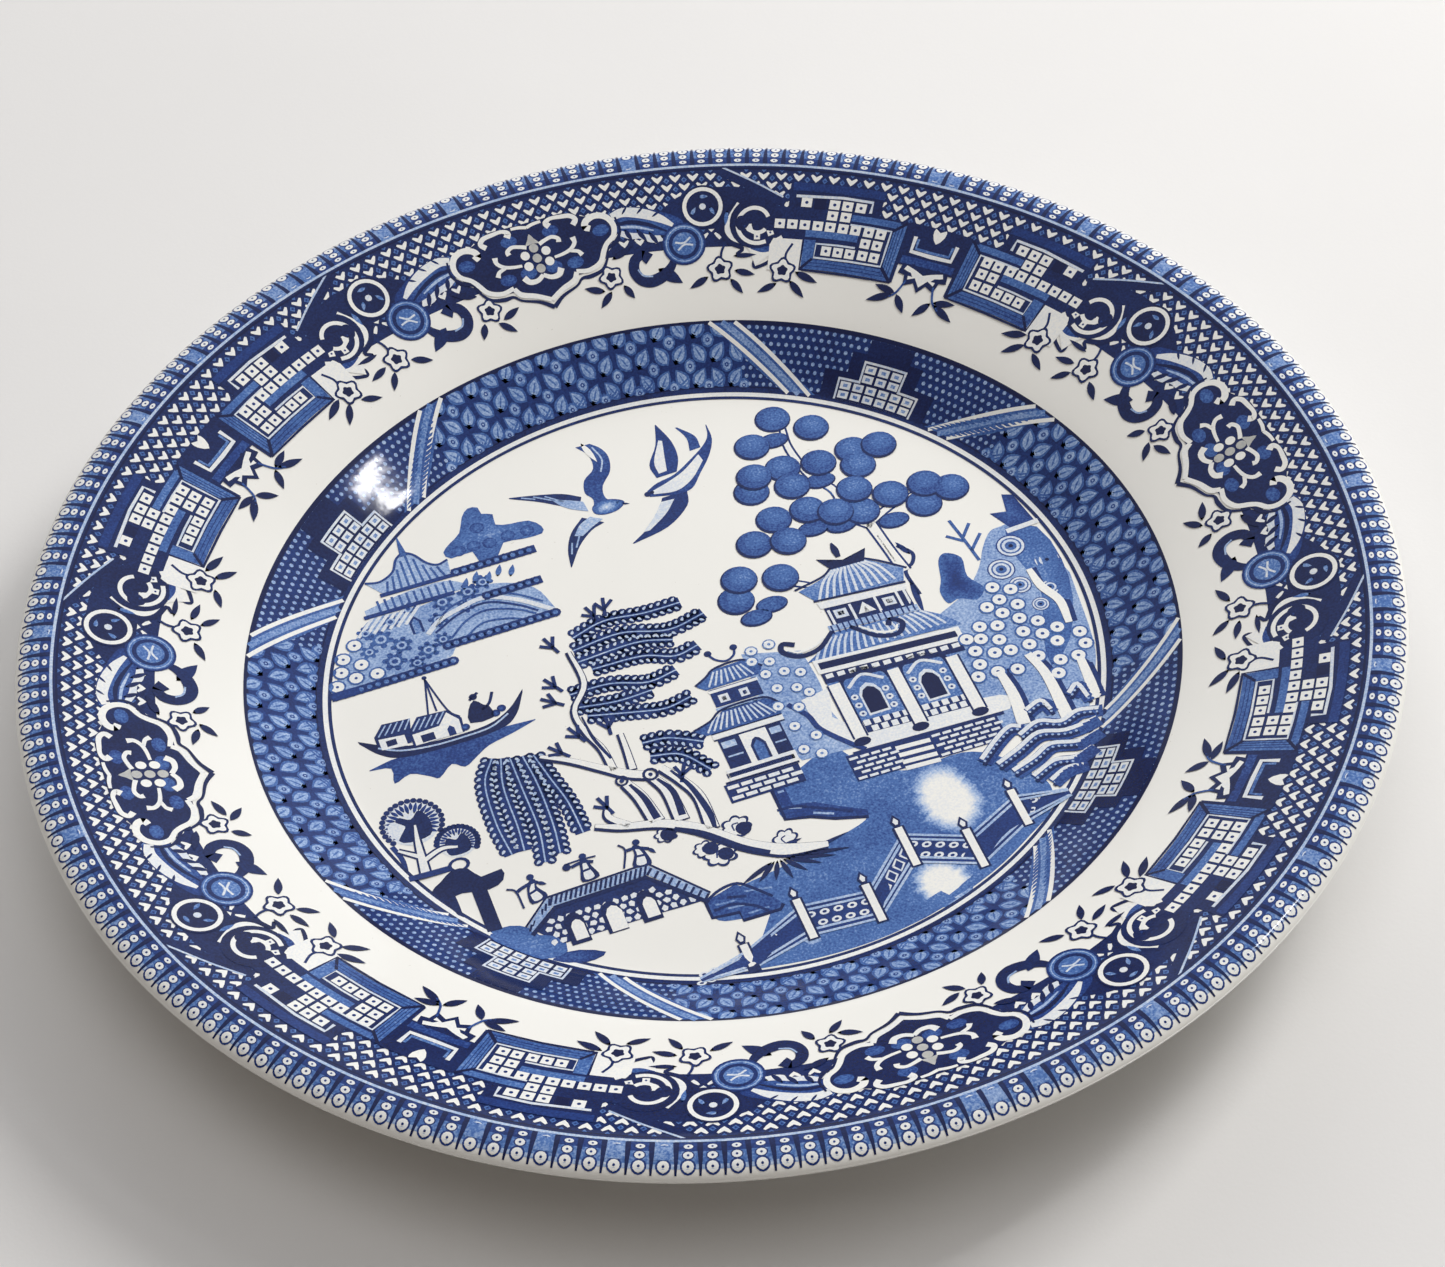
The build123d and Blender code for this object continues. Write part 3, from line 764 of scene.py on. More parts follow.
sector(
    "border_scrolls", 3, mid_ground, diagonal, diagonal_light, flame_edge, flame, flame_fold,
    spiral_back.at(spiral_at), spiral.at(spiral_at), frame_turn=mid_turn)
sector(
    "border_leaves", 4, plume_back, plume_white, plume_rib + plume_lobes, s_scroll, scroll_light,
    blue_disc.at([(30.4, 101.5)]), coin.at([coin_place], -18.9))


# Blossoms. Small five-petalled flowers and dark pointed leaves hang from the
# border into the white of the rim.
petal_turn = np.linspace(0, 2 * np.pi, 30, endpoint=False)


def five_petals(reach, swell):
    """A closed outline whose radius swells five times round."""
    radius = reach + swell * np.cos(5 * petal_turn)
    return np.stack([radius * np.sin(petal_turn), radius * np.cos(petal_turn)], axis=-1)


flower = patch(five_petals(2.42, 0.36), 0.93, steps=1) | patch(five_petals(1.92, 0.36), white_ink, steps=1)
flower = flower | patch(five_petals(1.0, 0.12), 1.0, steps=1)
# The first blossom's own leaves, then those of the other two, drawn about the half-way axis.
first_leaves = [
    ((14.9, 103.4), (20.0, 104.8), 1.5), ((11.2, 97.3), (7.2, 99.2), 1.5), ((12.5, 96.9), (9.2, 94.2), 1.5),
    ((15.3, 97.4), (16.6, 94.0), 1.5)]
mid_leaves = [
    ((-0.3, 102.9), (4.6, 103.1), 1.0), ((-5.4, 98.4), (-9.2, 95.8), 1.5), ((-0.8, 98.0), (2.0, 94.8), 1.4),
    ((0.0, 99.8), (4.4, 98.8), 1.4), ((9.0, 96.8), (4.9, 95.0), 1.4), ((11.6, 97.3), (14.7, 93.4), 1.5),
    ((12.8, 99.1), (17.5, 96.4), 1.6)]


def leaves(rows, ink=0.97):
    """One pointed leaf for each (start, end, width)."""
    made = None
    for start, end, width in rows:
        made = leaf(start, end, width, ink) if made is None else made + leaf(start, end, width, ink)
    return made


mid_stems = stroke([(-2.9, 102.2), (-2.8, 103.8), (-2.2, 105.4)], 0.5, 0.9) \
    + stroke([(10.7, 101.6), (10.9, 103.2), (12.2, 105.2)], 0.5, 0.9)
mid_flowers = flower.at([(-3.0, 100.0), (10.1, 99.5)], [10, -6], 1.06)
sector("blossoms", 12, flower.at([(13.4, 99.8)], 12) + leaves(first_leaves))
sector("border_sprays", 12, mid_flowers + leaves(mid_leaves) + mid_stems, frame_turn=mid_turn)


# Key fret. At each quarter a run of bevelled blue bars turns at right angles
# round white dotted squares, with a small pierced crest and a sprig in the middle.
fret_radius = 107.0
bar_ink = 0.56
fret_field = block(13.0, 31.5, 113.6, 119.4, 0.95) + block(6.2, 33.8, 100.7, 113.8, 0.93)
fret_cut = block(26.9, 34.6, 100.0, 106.9, white_ink)
bars = block(7.0, 9.3, 101.0, 113.1, bar_ink) + block(7.2, 27.2, 100.7, 102.9, bar_ink + 0.06)
bars = bars + block(24.9, 27.3, 101.2, 107.0, bar_ink) + block(16.2, 27.3, 107.6, 109.1, bar_ink)
bars = bars + block(8.4, 18.4, 112.0, 113.4, bar_ink) + block(13.0, 31.0, 117.5, 119.3, 0.82)
bar_lines = None
for line_s in (7.6, 8.2, 8.8):
    run = block(line_s, line_s + 0.18, 101.6, 112.6, 0.85)
    bar_lines = run if bar_lines is None else bar_lines + run
bar_lines = bar_lines + block(8.0, 26.6, 101.4, 101.55, 0.85) + block(8.0, 26.6, 102.1, 102.25, 0.85)
mitres = lines([(6.7, 100.6), (9.5, 103.3)], 0.7, 1.0) + lines([(27.4, 100.6), (25.0, 103.0)], 0.6, 1.0) \
    + lines([(7.0, 113.6), (9.5, 111.3)], 0.6, 1.0)
edges = lines([(6.7, 113.6), (6.7, 100.6), (17, 100.4), (27.5, 100.5), (27.5, 107)], 0.5, 0.97)
thin = lines([(18.4, 111.2), (14, 111.2), (9.75, 111.2), (9.75, 107), (9.75, 103.45), (17, 103.35),
              (24.7, 103.3),
              (24.7, 106.3), (20, 106.4), (16.3, 106.4)], 0.42, 0.12)
thin = thin + lines([(15.0, 114.2), (15.0, 116.6), (21, 116.7), (30.2, 116.3)], 0.6, 0.12)
fret_squares = [(11.7, 105.0), (14.3, 105.0), (17.1, 104.9), (19.7, 104.9), (22.3, 104.9), (11.8, 107.6),
                (14.4, 107.6)]
fret_squares += [(x, 110.1) for x in (11.7, 14.3, 17.1, 19.7, 22.4, 25.0, 27.7, 30.3, 32.9)]
fret_squares += [(19.7, 112.6), (22.4, 112.6), (17.1, 115.0), (19.8, 115.0), (22.4, 115.0), (28.0, 115.0)]
fret_square = block(-1.05, 1.05, -1.0, 1.0, white_ink) | disc(0.35, 0.85, sides=8)
fret_block = block(24.2, 26.4, 113.8, 116.0, 1.0)
crest_field = block(-6.8, 6.8, 104.9, 114.0, 0.95)
crest_bar = block(-5.9, 5.9, 105.3, 106.9, 0.75)
crest_line = lines([(-4.7, 111.2), (-4.5, 107.9), (0, 107.8), (4.5, 107.9), (4.7, 111.2)], 0.85, 0.06)
crest_line = crest_line + lines([(-3.9, 110.8), (-3.7, 108.7), (0, 108.6), (3.7, 108.7), (3.9, 110.8)], 0.6,
                                0.5)
crest_heart = patch([(0, 110.6), (1.3, 112.4), (1.2, 113.9), (0, 113.2), (-1.2, 113.9), (-1.3, 112.4)],
                    white_ink, steps=2)
crest_leaf_dark = patch([
    (0, 99.8), (1.4, 101.6), (3.4, 100.6), (3.9, 102.8), (5.4, 103.0), (5.0, 105.4), (0, 105.6),
    (-5.0, 105.4),
    (-5.4, 103.0), (-3.9, 102.8), (-3.4, 100.6), (-1.4, 101.6)], 0.96, steps=1)
crest_leaf = patch([
    (0, 101.0), (1.5, 102.8), (2.9, 102.0), (3.2, 103.6), (4.4, 104.0), (4.0, 104.9), (2.0, 104.4),
    (0, 103.6),
    (-2.0, 104.4), (-4.0, 104.9), (-4.4, 104.0), (-3.2, 103.6), (-2.9, 102.0), (-1.5, 102.8)], white_ink,
    steps=1)
sprig = leaves([
    ((4.3, 98.7), (9.0, 99.3), 1.5), ((4.6, 98.3), (9.6, 95.6), 1.6), ((3.9, 98.5), (1.0, 95.0), 1.6)])
sprig = sprig + stroke([(3.1, 101.8), (3.6, 100.0), (4.3, 98.5), (5.8, 97.2)], 0.45, 0.7)
sector(
    "key_fret", 8, fret_field.wrapped(fret_radius), fret_cut.wrapped(fret_radius),
    (bars + edges).wrapped(fret_radius), (bar_lines + mitres + thin + fret_block).wrapped(fret_radius),
    fret_square.at(fret_squares).wrapped(fret_radius), frame_turn=-45.0)
press("fret_crest", "rim_border_print", *(layer.turned(*corners) for layer in (
    crest_field.wrapped(fret_radius) + crest_leaf_dark, crest_bar.wrapped(fret_radius) + crest_leaf,
    crest_line + crest_heart, sprig.mirrored())), level=10)


# Edge band. Round the lip runs a comb of dark bars with three white eyelets
# between each pair, the biggest outside; here and there the tissue has blurred.
bars_round = 200
comb_angles = (np.arange(bars_round) + 0.5) * 360.0 / bars_round
comb_bar = stroke([(0.1, 123.4, 0.95), (0.0, 125.4, 0.85), (-0.05, 127.4, 0.6), (0, 129.35, 0.35)], ink=0.97,
                  steps=2)
eyelet = disc(1.32, 0.8, sides=14) | disc(0.98, 0.03, sides=12) | disc(0.26, 0.85, sides=6)
small_eyelet = disc(1.08, 0.85, sides=12, flat=0.8) | disc(0.86, 0.04, sides=10, flat=0.8) \
    | disc(0.24, 0.8, sides=6)
flat_eyelet = disc(1.05, 0.85, sides=12, flat=0.6) | disc(0.8, 0.05, sides=10, flat=0.6) \
    | disc(0.2, 0.8, sides=6)
smudge = np.random.default_rng(7)
blurs = smudge.random(bars_round) < 0.16
wash = band(123.2, 126.9, -0.75, 0.75, 0.45, rows=4, columns=3)
press(
    "edge_band", "edge_band_print",
    band(122.6, 125.2, *whole_turn, 0.78, rows=4, columns=rim_columns)
    + band(125.2, 127.6, *whole_turn, 0.5, rows=3, columns=rim_columns)
    + band(127.6, 128.4, *whole_turn, 0.28, columns=rim_columns),
    flat_eyelet.at([(0, 124.25)]).turned(*comb_angles) + small_eyelet.at([(0, 125.95)]).turned(*comb_angles)
    + eyelet.at([(0, 127.95)]).turned(*comb_angles),
    wash.turned(*comb_angles[blurs]),
    comb_bar.turned(*(comb_angles + 180.0 / bars_round)),
    band(122.75, 123.3, *whole_turn, 0.22, columns=rim_columns)
    + band(122.3, 122.75, *whole_turn, 0.95, columns=rim_columns))


# Water and shore. The lake is printed in an even middle blue stipple, with a
# ragged white reflection in it and dark stepped ledges along the near bank.
def places_along(points, pitch, offset=0.0):
    """Evenly spaced places on a smooth curve, moved sideways by the offset, and their headings in degrees."""
    line = spline(points, 8)
    length = np.concatenate([[0], np.cumsum(np.linalg.norm(np.diff(line, axis=0), axis=1))])
    stations = np.arange(pitch / 2, length[-1], pitch)
    spots = np.stack([np.interp(stations, length, line[:, i]) for i in (0, 1)], axis=-1)
    way = np.gradient(line, axis=0)
    heading = np.stack([np.interp(stations, length, way[:, i]) for i in (0, 1)], axis=-1)
    heading = heading / np.linalg.norm(heading, axis=1)[:, None]
    side = np.stack([-heading[:, 1], heading[:, 0]], axis=-1)
    return spots + side * offset, np.degrees(np.arctan2(heading[:, 1], heading[:, 0]))


def strokes(rows, width, ink, steps=4):
    """One stroke for each list of points."""
    return together([stroke(row, width, ink, steps) for row in rows])


def landscape(name, level, *layers):
    return press(name, "centre_scene_print", *layers, level=level)


lake = ruled(
    [(0.5, -33.5), (-0.5, -41), (7, -42), (14, -46), (7, -48.8), (-6, -51.5), (-19.5, -54), (-19.5, -58.5),
     (-14, -60),
     (-8, -61.5), (-8, -66), (-20, -70.6)],
    [(14, -27), (18, -34), (24.5, -38.5), (36, -38.5), (42, -42), (46, -48), (48, -52), (46, -57.4),
     (40, -61.5),
     (30, -67), (15, -72), (0, -73.4)], 0.55, across=9)
lake_bank = ruled(
    [(-10, -60), (-7, -61), (7, -61.5), (13, -57)], [(-18, -71.2), (-5, -73.2), (8, -73.1), (22, -70.3)],
    0.55, across=5)
shore_steps = ruled(
    [(-0.3, -33.6), (-0.3, -41.2), (4.2, -42.3), (8.3, -44.4), (14.2, -46.3)],
    [(2.2, -33.6), (2.2, -38.3), (6.2, -39.3), (10.2, -42.0), (14.6, -44.6)], 0.76, steps=1, across=3)
shore_light = strokes([[(0.6, -34.6), (1.8, -34.6)], [(0.6, -38.6), (3.5, -39.6)],
                       [(5, -41.6), (8.5, -43.2)]], 0.5, 0.3)
near_bank = ruled(
    [(-20.4, -53.6), (-20.4, -57.6), (-15.4, -58.2), (-15.4, -60.2), (-8.3, -60.3)],
    [(-14, -51.8), (-12, -54), (-10, -56), (-8.3, -57.6), (-7.4, -59.3)], 0.68, steps=2, across=3)
bank_light = strokes([[(-19, -55), (-15, -55.4)], [(-17, -56.6), (-13, -57)], [(-14, -59), (-10, -59)],
                      [(-13, -54), (-8, -55)]], 0.4, 0.4)


def glow(places, wide, high, seed):
    """A ragged bright reflection: an oval of spikes whose ink fades to white at its middle."""
    t = np.linspace(0, 2 * np.pi, 48, endpoint=False)
    spikes = 1 + 0.16 * np.random.default_rng(seed).uniform(-1, 1, 48) * np.abs(np.sin(t))
    light = patch(np.stack([wide * spikes * np.sin(t), high * np.cos(t)], axis=-1), 0.56, -0.75, steps=1,
                  rings=9)
    light.ink = np.maximum(light.ink, 0.02)
    return light.at(places)


glint = glow([(29.3, -47.8)], 6.4, 9.2, 3)
low_glint = glow([(21.0, -65.6)], 5.6, 5.8, 5)
low_glint = low_glint + ruled([(-6.4, -61.2), (-9.0, -65.5), (-6, -69.8)],
                              [(-4.2, -61.2), (-3.6, -65.5), (-4.0, -69.8)], 0.35)
ledge_edges = lines([(-0.3, -33.6), (-0.3, -41.2), (4.2, -42.3), (8.3, -44.4), (14.2, -46.3)], 0.7, 0.95) \
    + lines([(-20.4, -53.4), (-20.4, -57.6), (-15.4, -58.2), (-15.4, -60.2), (-8.3, -60.3), (-7.4, -59.3)],
            0.7, 0.95) \
    + strokes([[(-20.2, -53.6), (-17, -52), (-13.6, -51.8), (-11, -54.2), (-8.6, -57)],
               [(-1, -38.6), (2.6, -39), (7, -41.2), (12, -44)],
               [(-19.6, -56.2), (-16, -56), (-12.6, -57.6), (-10.4, -59.8)], [(-16.4, -54.2), (-13, -55.2)]],
               0.6, 0.9)
landscape("lake", 0, lake + lake_bank, glint + low_glint + shore_steps + near_bank, shore_light + bank_light,
          ledge_edges)


# Birds. Two swallows face each other at the top; their feathers are dark at
# the trailing edge and paler towards the quills.
left_body = ruled(
    [(-3.2, 67.2), (-1.5, 65), (-0.8, 62), (-1.8, 58), (-4.5, 54.5), (-5, 51), (-3.0, 48.6)],
    [(-6.3, 67.3), (-4.5, 64), (-4.8, 60), (-7.5, 57.5), (-8.5, 54), (-7.5, 51.5), (-8.6, 48.2)], 0.72,
    across=4)
left_head = patch([(-8.4, 49.5), (-6.5, 50.6), (-3.8, 50.2), (-1.8, 48.6), (-3.6, 46.9), (-6.5, 46.6),
                   (-8.4, 47.6)], 0.75, 0.15)
left_head = left_head + disc(0.4, 1.0).at([(-3.2, 48.9)]) + leaf((-2.6, 48.3), (-1.0, 47.6), 0.5, 0.95)
tail_split = leaf((-4.9, 68.0), (-3.4, 61.5), 1.3, white_ink) \
    + stroke([(-3.1, 66), (-2.3, 62.0), (-3.6, 58.5)], 0.35, 0.25)
left_wing = ruled(
    [(-23.3, 58.6), (-18.5, 57.4), (-13, 55.6), (-9.5, 53.2)],
    [(-23.3, 58.3), (-18, 55.2), (-14.5, 52.6), (-11.0, 50.2)], 0.88, across=4)
left_wing_pale = ruled([(-15.4, 54.6), (-12.5, 53.4), (-9.6, 51.8)],
                       [(-14.2, 52.4), (-12.4, 50.6), (-9.4, 48.8)], 0.3, across=3)
low_wing = ruled(
    [(-17.5, 35.2), (-16.6, 40.0), (-14.6, 44.2), (-11.2, 47.6)],
    [(-17.3, 35.2), (-14.0, 40.2), (-10.5, 43.4), (-7.4, 44.6)], 0.9, across=4)
low_wing_pale = ruled([(-14.2, 43.2), (-12.2, 45.8), (-9.6, 47.2)],
                      [(-12.6, 42.6), (-9.8, 44.4), (-7.4, 45.6)], 0.28, across=3)
feathers = strokes([
    [(-21, 57.6), (-18.4, 56.2)], [(-18.6, 57), (-15.4, 54.6)], [(-16.4, 56.2), (-13.2, 53.2)],
    [(-16.2, 38.6), (-15.2, 41.6)], [(-14.8, 40), (-13.2, 43)]], 0.35, 0.3)
right_body = ruled(
    [(3.4, 49.6), (6, 51), (10, 52), (14, 54.5), (18, 57.5), (20, 60), (20.7, 63.2)],
    [(3.4, 47.8), (8, 46.6), (12, 46.8), (15, 50.2), (18.4, 54.4), (20.6, 58.8), (20.9, 63.2)], 0.75,
    across=3)
right_body_pale = ruled(
    [(4.4, 49.2), (8, 50.4), (12, 52.2), (16.5, 55.6)], [(4.4, 48.2), (9, 47.4), (13, 49.4), (16.8, 53.6)],
    0.06, across=3)
right_tail = ruled([(14.6, 64.8), (15.8, 61), (15.2, 57.2)], [(15.0, 64.8), (17.6, 61), (17.6, 57.4)], 0.7)
right_wing = ruled([(11, 67.2), (9.2, 61.5), (6.2, 56.5), (6.4, 52.4)],
                   [(11.2, 67.2), (12.6, 61.5), (12.4, 56.5), (10.8, 52.6)], 0.8, across=3)
right_wing_pale = ruled([(10.2, 62.6), (7.4, 57), (7.2, 53.4)], [(10.9, 62.2), (9.8, 57.4), (9.0, 53.6)],
                        0.06)
right_low_wing = ruled([(-4.0, 36.8), (0.4, 39.8), (3.4, 43.0), (5.6, 46.6)],
                       [(-3.8, 36.6), (4, 38.4), (9.6, 42.6), (11, 46.8)], 0.85, across=4)
right_low_pale = ruled([(-1.0, 38.9), (2.4, 42.2), (5.0, 45.6)], [(0.4, 38.9), (4.8, 42.0), (7.8, 45.4)], 0.1,
                       across=3)
right_eye = disc(0.45, 1.0).at([(4.2, 48.9)]) + disc(0.7, 0.9).at([(3.2, 48.7)])
landscape(
    "birds", 1, left_body + left_wing + low_wing + right_wing + right_tail + right_low_wing, left_head
    + right_body,
    left_wing_pale + low_wing_pale + right_wing_pale + right_low_pale + right_body_pale + tail_split
    + feathers, right_eye)


# Fruit tree. Round leaf clusters, each shaded darker at its lower left, hang
# about a forked white trunk behind the tea house.
trunk_rows = [
    [(43.4, 9, 2.2), (42.6, 16, 1.8), (41.8, 24, 2.0)], [(42, 23, 1.6), (37, 27.5, 1.2), (30, 30, 0.9)],
    [(42, 24, 1.4), (48, 27, 1.2), (53, 28, 0.8)],
    [(38, 28, 1.2), (38.5, 35, 1.4), (35.5, 41, 1.4), (34.2, 50, 1.2), (35, 56, 0.8)],
    [(24.5, 12.6, 0.9), (20.5, 15.2, 1.2), (17.5, 17, 0.8)]]
trunk_dark = together([stroke([(x, y, w + 0.9) for x, y, w in row], ink=0.85) for row in trunk_rows])
trunk = together([stroke(row, ink=white_ink) for row in trunk_rows])
trunk = trunk + strokes([[(42.6, 12), (41.9, 20)], [(37.8, 34), (36, 40)]], 0.3, 0.6)
bough = stroke([(44.4, 16), (46.5, 13), (45.6, 10.5), (43.4, 8.5), (43.8, 2)], 0.8, 0.9) \
    + leaf((46, 12.8), (44.5, 17), 1.2, 0.85) + leaf((43.4, 6.5), (42.6, -3.5), 1.3, 0.85)
big_clusters = [
    (34, 59.2), (27.3, 53.2), (40.5, 53.8), (24.7, 44.8), (31, 45), (38.3, 43.7), (46, 44.5), (51.5, 43.8),
    (22.8, 41),
    (31, 39.5), (45.5, 40), (42.3, 33.8), (24.3, 32), (31.5, 32), (36.5, 29.3), (48.5, 29.7), (41.5, 27.5),
    (56, 29.8),
    (18.3, 27), (24.9, 25.3), (53.8, 24.7), (60.5, 26.8), (12.2, 19), (20, 16.5), (9.8, 14)]
flat_clusters = [(32, 53.3), (36.8, 38.8), (30.8, 26.7), (36.3, 25.5), (46.5, 22.7), (16, 10.5), (12, 8.3)]
cluster = disc(3.75, 0.93, sides=22) | disc(3.45, 0.66, 0.62, sides=20).at([(0.22, 0.28)]) \
    | disc(2.3, 0.58, 0.52).at([(0.7, 0.8)])
flat_cluster = disc(3.3, 0.93, sides=20, flat=0.66) \
    | disc(3.0, 0.68, 0.62, sides=18, flat=0.62).at([(0.15, 0.2)])
landscape(
    "fruit_tree", 1, trunk_dark + bough, trunk, flat_cluster.at(flat_clusters),
    *(cluster.at(big_clusters[start::4]) for start in range(4)))


# Island. Far off stands a pagoda on a rocky island, printed paler, with
# scalloped tree banks, a door in a wall and rows of round bushes.
far_ink = 0.62
far_tree = patch([
    (-40, 49), (-38, 51), (-35.5, 53), (-33.8, 57), (-32, 59), (-30, 58.5), (-29.8, 56.5), (-27.7, 55.5),
    (-28, 52.5),
    (-25, 51.5), (-21.5, 51), (-19.5, 48.5), (-20, 46.5), (-24, 46.5), (-28, 47), (-30, 44), (-34, 44),
    (-34.5, 47),
    (-39, 46.8)], 0.62, 0.5, steps=2)
far_tree = far_tree | disc(1.5, 0.74, 0.5, sides=10).at([(-37, 48.2), (-33.8, 48.4), (-30.6, 48),
    (-26.6, 48.6), (-22.6, 48.4), (-31.8, 53)])
spire = stroke([(-47.7, 56.4, 0.2), (-47.7, 53.4, 1.0), (-47.7, 51, 1.6)], ink=far_ink)
upper_roof = ruled(
    [(-57, 46.5), (-54, 46.0), (-51, 47.6), (-49.5, 50.6), (-47.7, 51.8), (-45.8, 50.6), (-44, 47.6),
     (-42, 46.2), (-39.8, 46.8)],
    [(-54.6, 43), (-53.4, 42.6), (-51, 42.5), (-49.2, 42.5), (-47.6, 42.5), (-45.9, 42.5), (-44, 42.5),
     (-41.6, 42.6), (-40.2, 43)],
    0.3, across=3)
roof_edge = stroke([(-57, 46.5), (-54, 46.0), (-51, 47.6), (-49.5, 50.6), (-47.7, 51.8), (-45.8, 50.6),
                    (-44, 47.6), (-42, 46.2), (-39.8, 46.8)], 0.55, 0.75)
roof_stripes = strokes([[(x, 42.6), (x * 0.86 - 6.7, y)] for x, y in (
    (-53.4, 45.6), (-51.9, 46.6), (-50.4, 48), (-48.9, 50), (-47.4, 51), (-45.9, 49.6), (-44.4, 47.4),
    (-42.9, 46), (-41.4, 45.8))], 0.5, 0.62)
low_roof = ruled([(-59, 39.5), (-50, 41.4), (-42, 41.4), (-38, 39)],
                 [(-59, 38), (-50, 37.8), (-42, 37.8), (-38, 38)], 0.3)
low_stripes = strokes([[(x, 38), (x, 41.2)] for x in np.arange(-56, -40, 1.5)], 0.5, 0.62)
eaves = lines([(-55, 42.3), (-39.5, 42.3)], 1.0, 0.78) + lines([(-59.6, 37.6), (-41, 37.6)], 1.0, 0.8)
hill = ruled(
    [(-71.5, 19.5), (-68, 25), (-62.5, 33), (-58, 37), (-50, 36.5), (-42, 37.5), (-33, 37), (-26, 33),
     (-23.4, 25)],
    [(-70, 19.5), (-64, 19.6), (-58, 19.7), (-52, 20), (-46.5, 21.5), (-44, 23.8), (-36, 24), (-29, 24),
     (-24, 24.3)], 0.34, across=7)
island_tree = disc(1.6, 0.62, sides=11) | disc(1.05, 0.3, sides=9) | disc(0.6, 0.7, sides=7)
island_tree = island_tree + disc(0.62, 0.66, sides=7).at([(1.5, 0.9), (0.2, 1.7), (-1.4, 1.0), (-1.6, -0.6),
    (1.6, -0.7), (0.1, -1.7)])
hill_shade = island_tree.at(
    [(-58, 31), (-54.6, 28), (-57, 24.4), (-50, 24.8), (-61, 28.6), (-46, 31.8), (-44, 36), (-38.5, 36.8),
     (-40, 33.2),
     (-55, 34.8), (-35, 38.2), (-53, 22.4), (-46.6, 26.4), (-60.4, 33.6), (-50.8, 36.8)],
    np.arange(15) * 37.0, [1.1, 1.0, 1.1, 1.0, 0.8, 0.9, 1.0, 1.0, 0.8, 0.9, 0.9, 0.8, 0.8, 0.8, 0.8])
crest_lines = strokes([
    [(-45, 26), (-41, 29.4), (-36.4, 30.6), (-31, 28.6), (-27.6, 26)],
    [(-42, 25.4), (-38, 27.6), (-33, 26.8), (-30, 25.2)],
    [(-47, 30), (-43.4, 33.8), (-37.4, 35.2), (-30.6, 33.0), (-25.4, 28.6)]], 0.5, 0.66)
wall_stripes = together([lines([(-62 + k * 1.6, 33), (-57.2 + k * 1.6, 38)], 0.7, 0.1) for k in range(7)])
far_door = patch([(-51.7, 29.8), (-51.7, 33), (-50.5, 34.8), (-49.3, 33), (-49.3, 29.8)], 0.85, steps=1) \
    | patch([(-51.2, 29.8), (-51.2, 32.8), (-50.5, 33.9), (-49.8, 32.8), (-49.8, 29.8)], 0.45, steps=1)
hill_arc = stroke([(-49, 28.8), (-46, 31.4), (-42, 32.9), (-36, 34), (-30, 31), (-25.5, 27.0), (-24, 25.6)],
                  1.1, 0.1)
hill_arc = hill_arc | stroke([(-47.5, 28.6), (-42, 31.6), (-36, 32.6), (-30.6, 29.8), (-27, 26.6)], 0.5, 0.8)
bushes = disc(1.75, 0.6, sides=12).at([(-63.3, 31.3), (-66.3, 28.5), (-67.5, 25.3), (-63.3, 26), (-65.2, 23),
                                       (-69.2, 22), (-61, 22.6)]) \
    | disc(1.35, 0.04, sides=12).at([(-63.3, 31.3), (-66.3, 28.5), (-67.5, 25.3), (-63.3, 26), (-65.2, 23),
                                     (-69.2, 22), (-61, 22.6)]) \
    | disc(0.35, 0.7, sides=6).at([(-63.3, 31.3), (-66.3, 28.5), (-67.5, 25.3), (-63.3, 26), (-65.2, 23),
                                   (-69.2, 22), (-61, 22.6)])
bank_rows = [[(-40, 42.8), (-22.5, 43.0)], [(-36, 34.3), (-23.8, 34.5)], [(-71, 19.7), (-46, 20.2)],
             [(-47, 24.5), (-24, 24.8)]]
ball = disc(1.15, 0.85, sides=10) | disc(0.55, 0.5, sides=8)
banks = strokes(bank_rows, 2.1, 0.8) | together([ball.at(places_along(row, 1.7)[0]) for row in bank_rows])
twigs = together([leaf((-39 + k * 2.4, 37.5 + (k % 2)), (-37.6 + k * 2.4, 40.5 + (k % 2)), 1.2, 0.55)
                  for k in range(5)])
landscape(
    "island", 1, hill + far_tree + low_roof, wall_stripes + hill_shade + low_stripes + upper_roof + far_door,
    roof_stripes + hill_arc + twigs + crest_lines, roof_edge + spire + eaves + banks + bushes)


# Boat. A dark crescent hull with two roofed cabins, a mast with its stays, a
# boatman at the pole, and a ragged shadow in the water under it.
boat_shadow = ruled(
    [(-69, -0.7), (-65, -1.6), (-65.4, -5.4), (-62, -4.2), (-58.6, -6.2), (-57, -7.2), (-54, -4.8),
     (-51.8, -6.4), (-49, -4.8), (-46, -3), (-41, -1.8), (-36, -0.3)],
    [(-69, -0.5), (-65, 0.4), (-63.5, 0.5), (-60.5, 0.6), (-57.6, 0.7), (-55, 0.7), (-52.6, 0.7), (-50, 0.7),
     (-47.5, 0.6), (-44.5, 0.5), (-40.5, 0.2), (-36, -0.1)],
    0.72, steps=3, across=3)
hull = ruled(
    [(-69.2, 7.2), (-64, 4), (-60, 2.6), (-53, 1.7), (-45, 2.0), (-40, 4.2), (-36, 8.2)],
    [(-69, 6.4), (-66, 2.4), (-62, 0.2), (-53, -0.5), (-43, 0.0), (-39, 2.4), (-36.2, 7.4)], 0.97, across=3)
hull_stripe = stroke([(-66, 4.2), (-62, 2.0), (-56, 0.9), (-50, 0.8), (-44.5, 1.2), (-40.4, 3.2)], 0.4, 0.25)
cabins = patch([(-66, 3.5), (-66, 7), (-63.8, 9.7), (-58.3, 9.2), (-59.6, 3.2)], 0.9, steps=1) \
    + patch([(-59.5, 2), (-59.5, 5.8), (-57, 9), (-51, 8.5), (-49, 5.6), (-49.4, 2)], 0.9, steps=1)
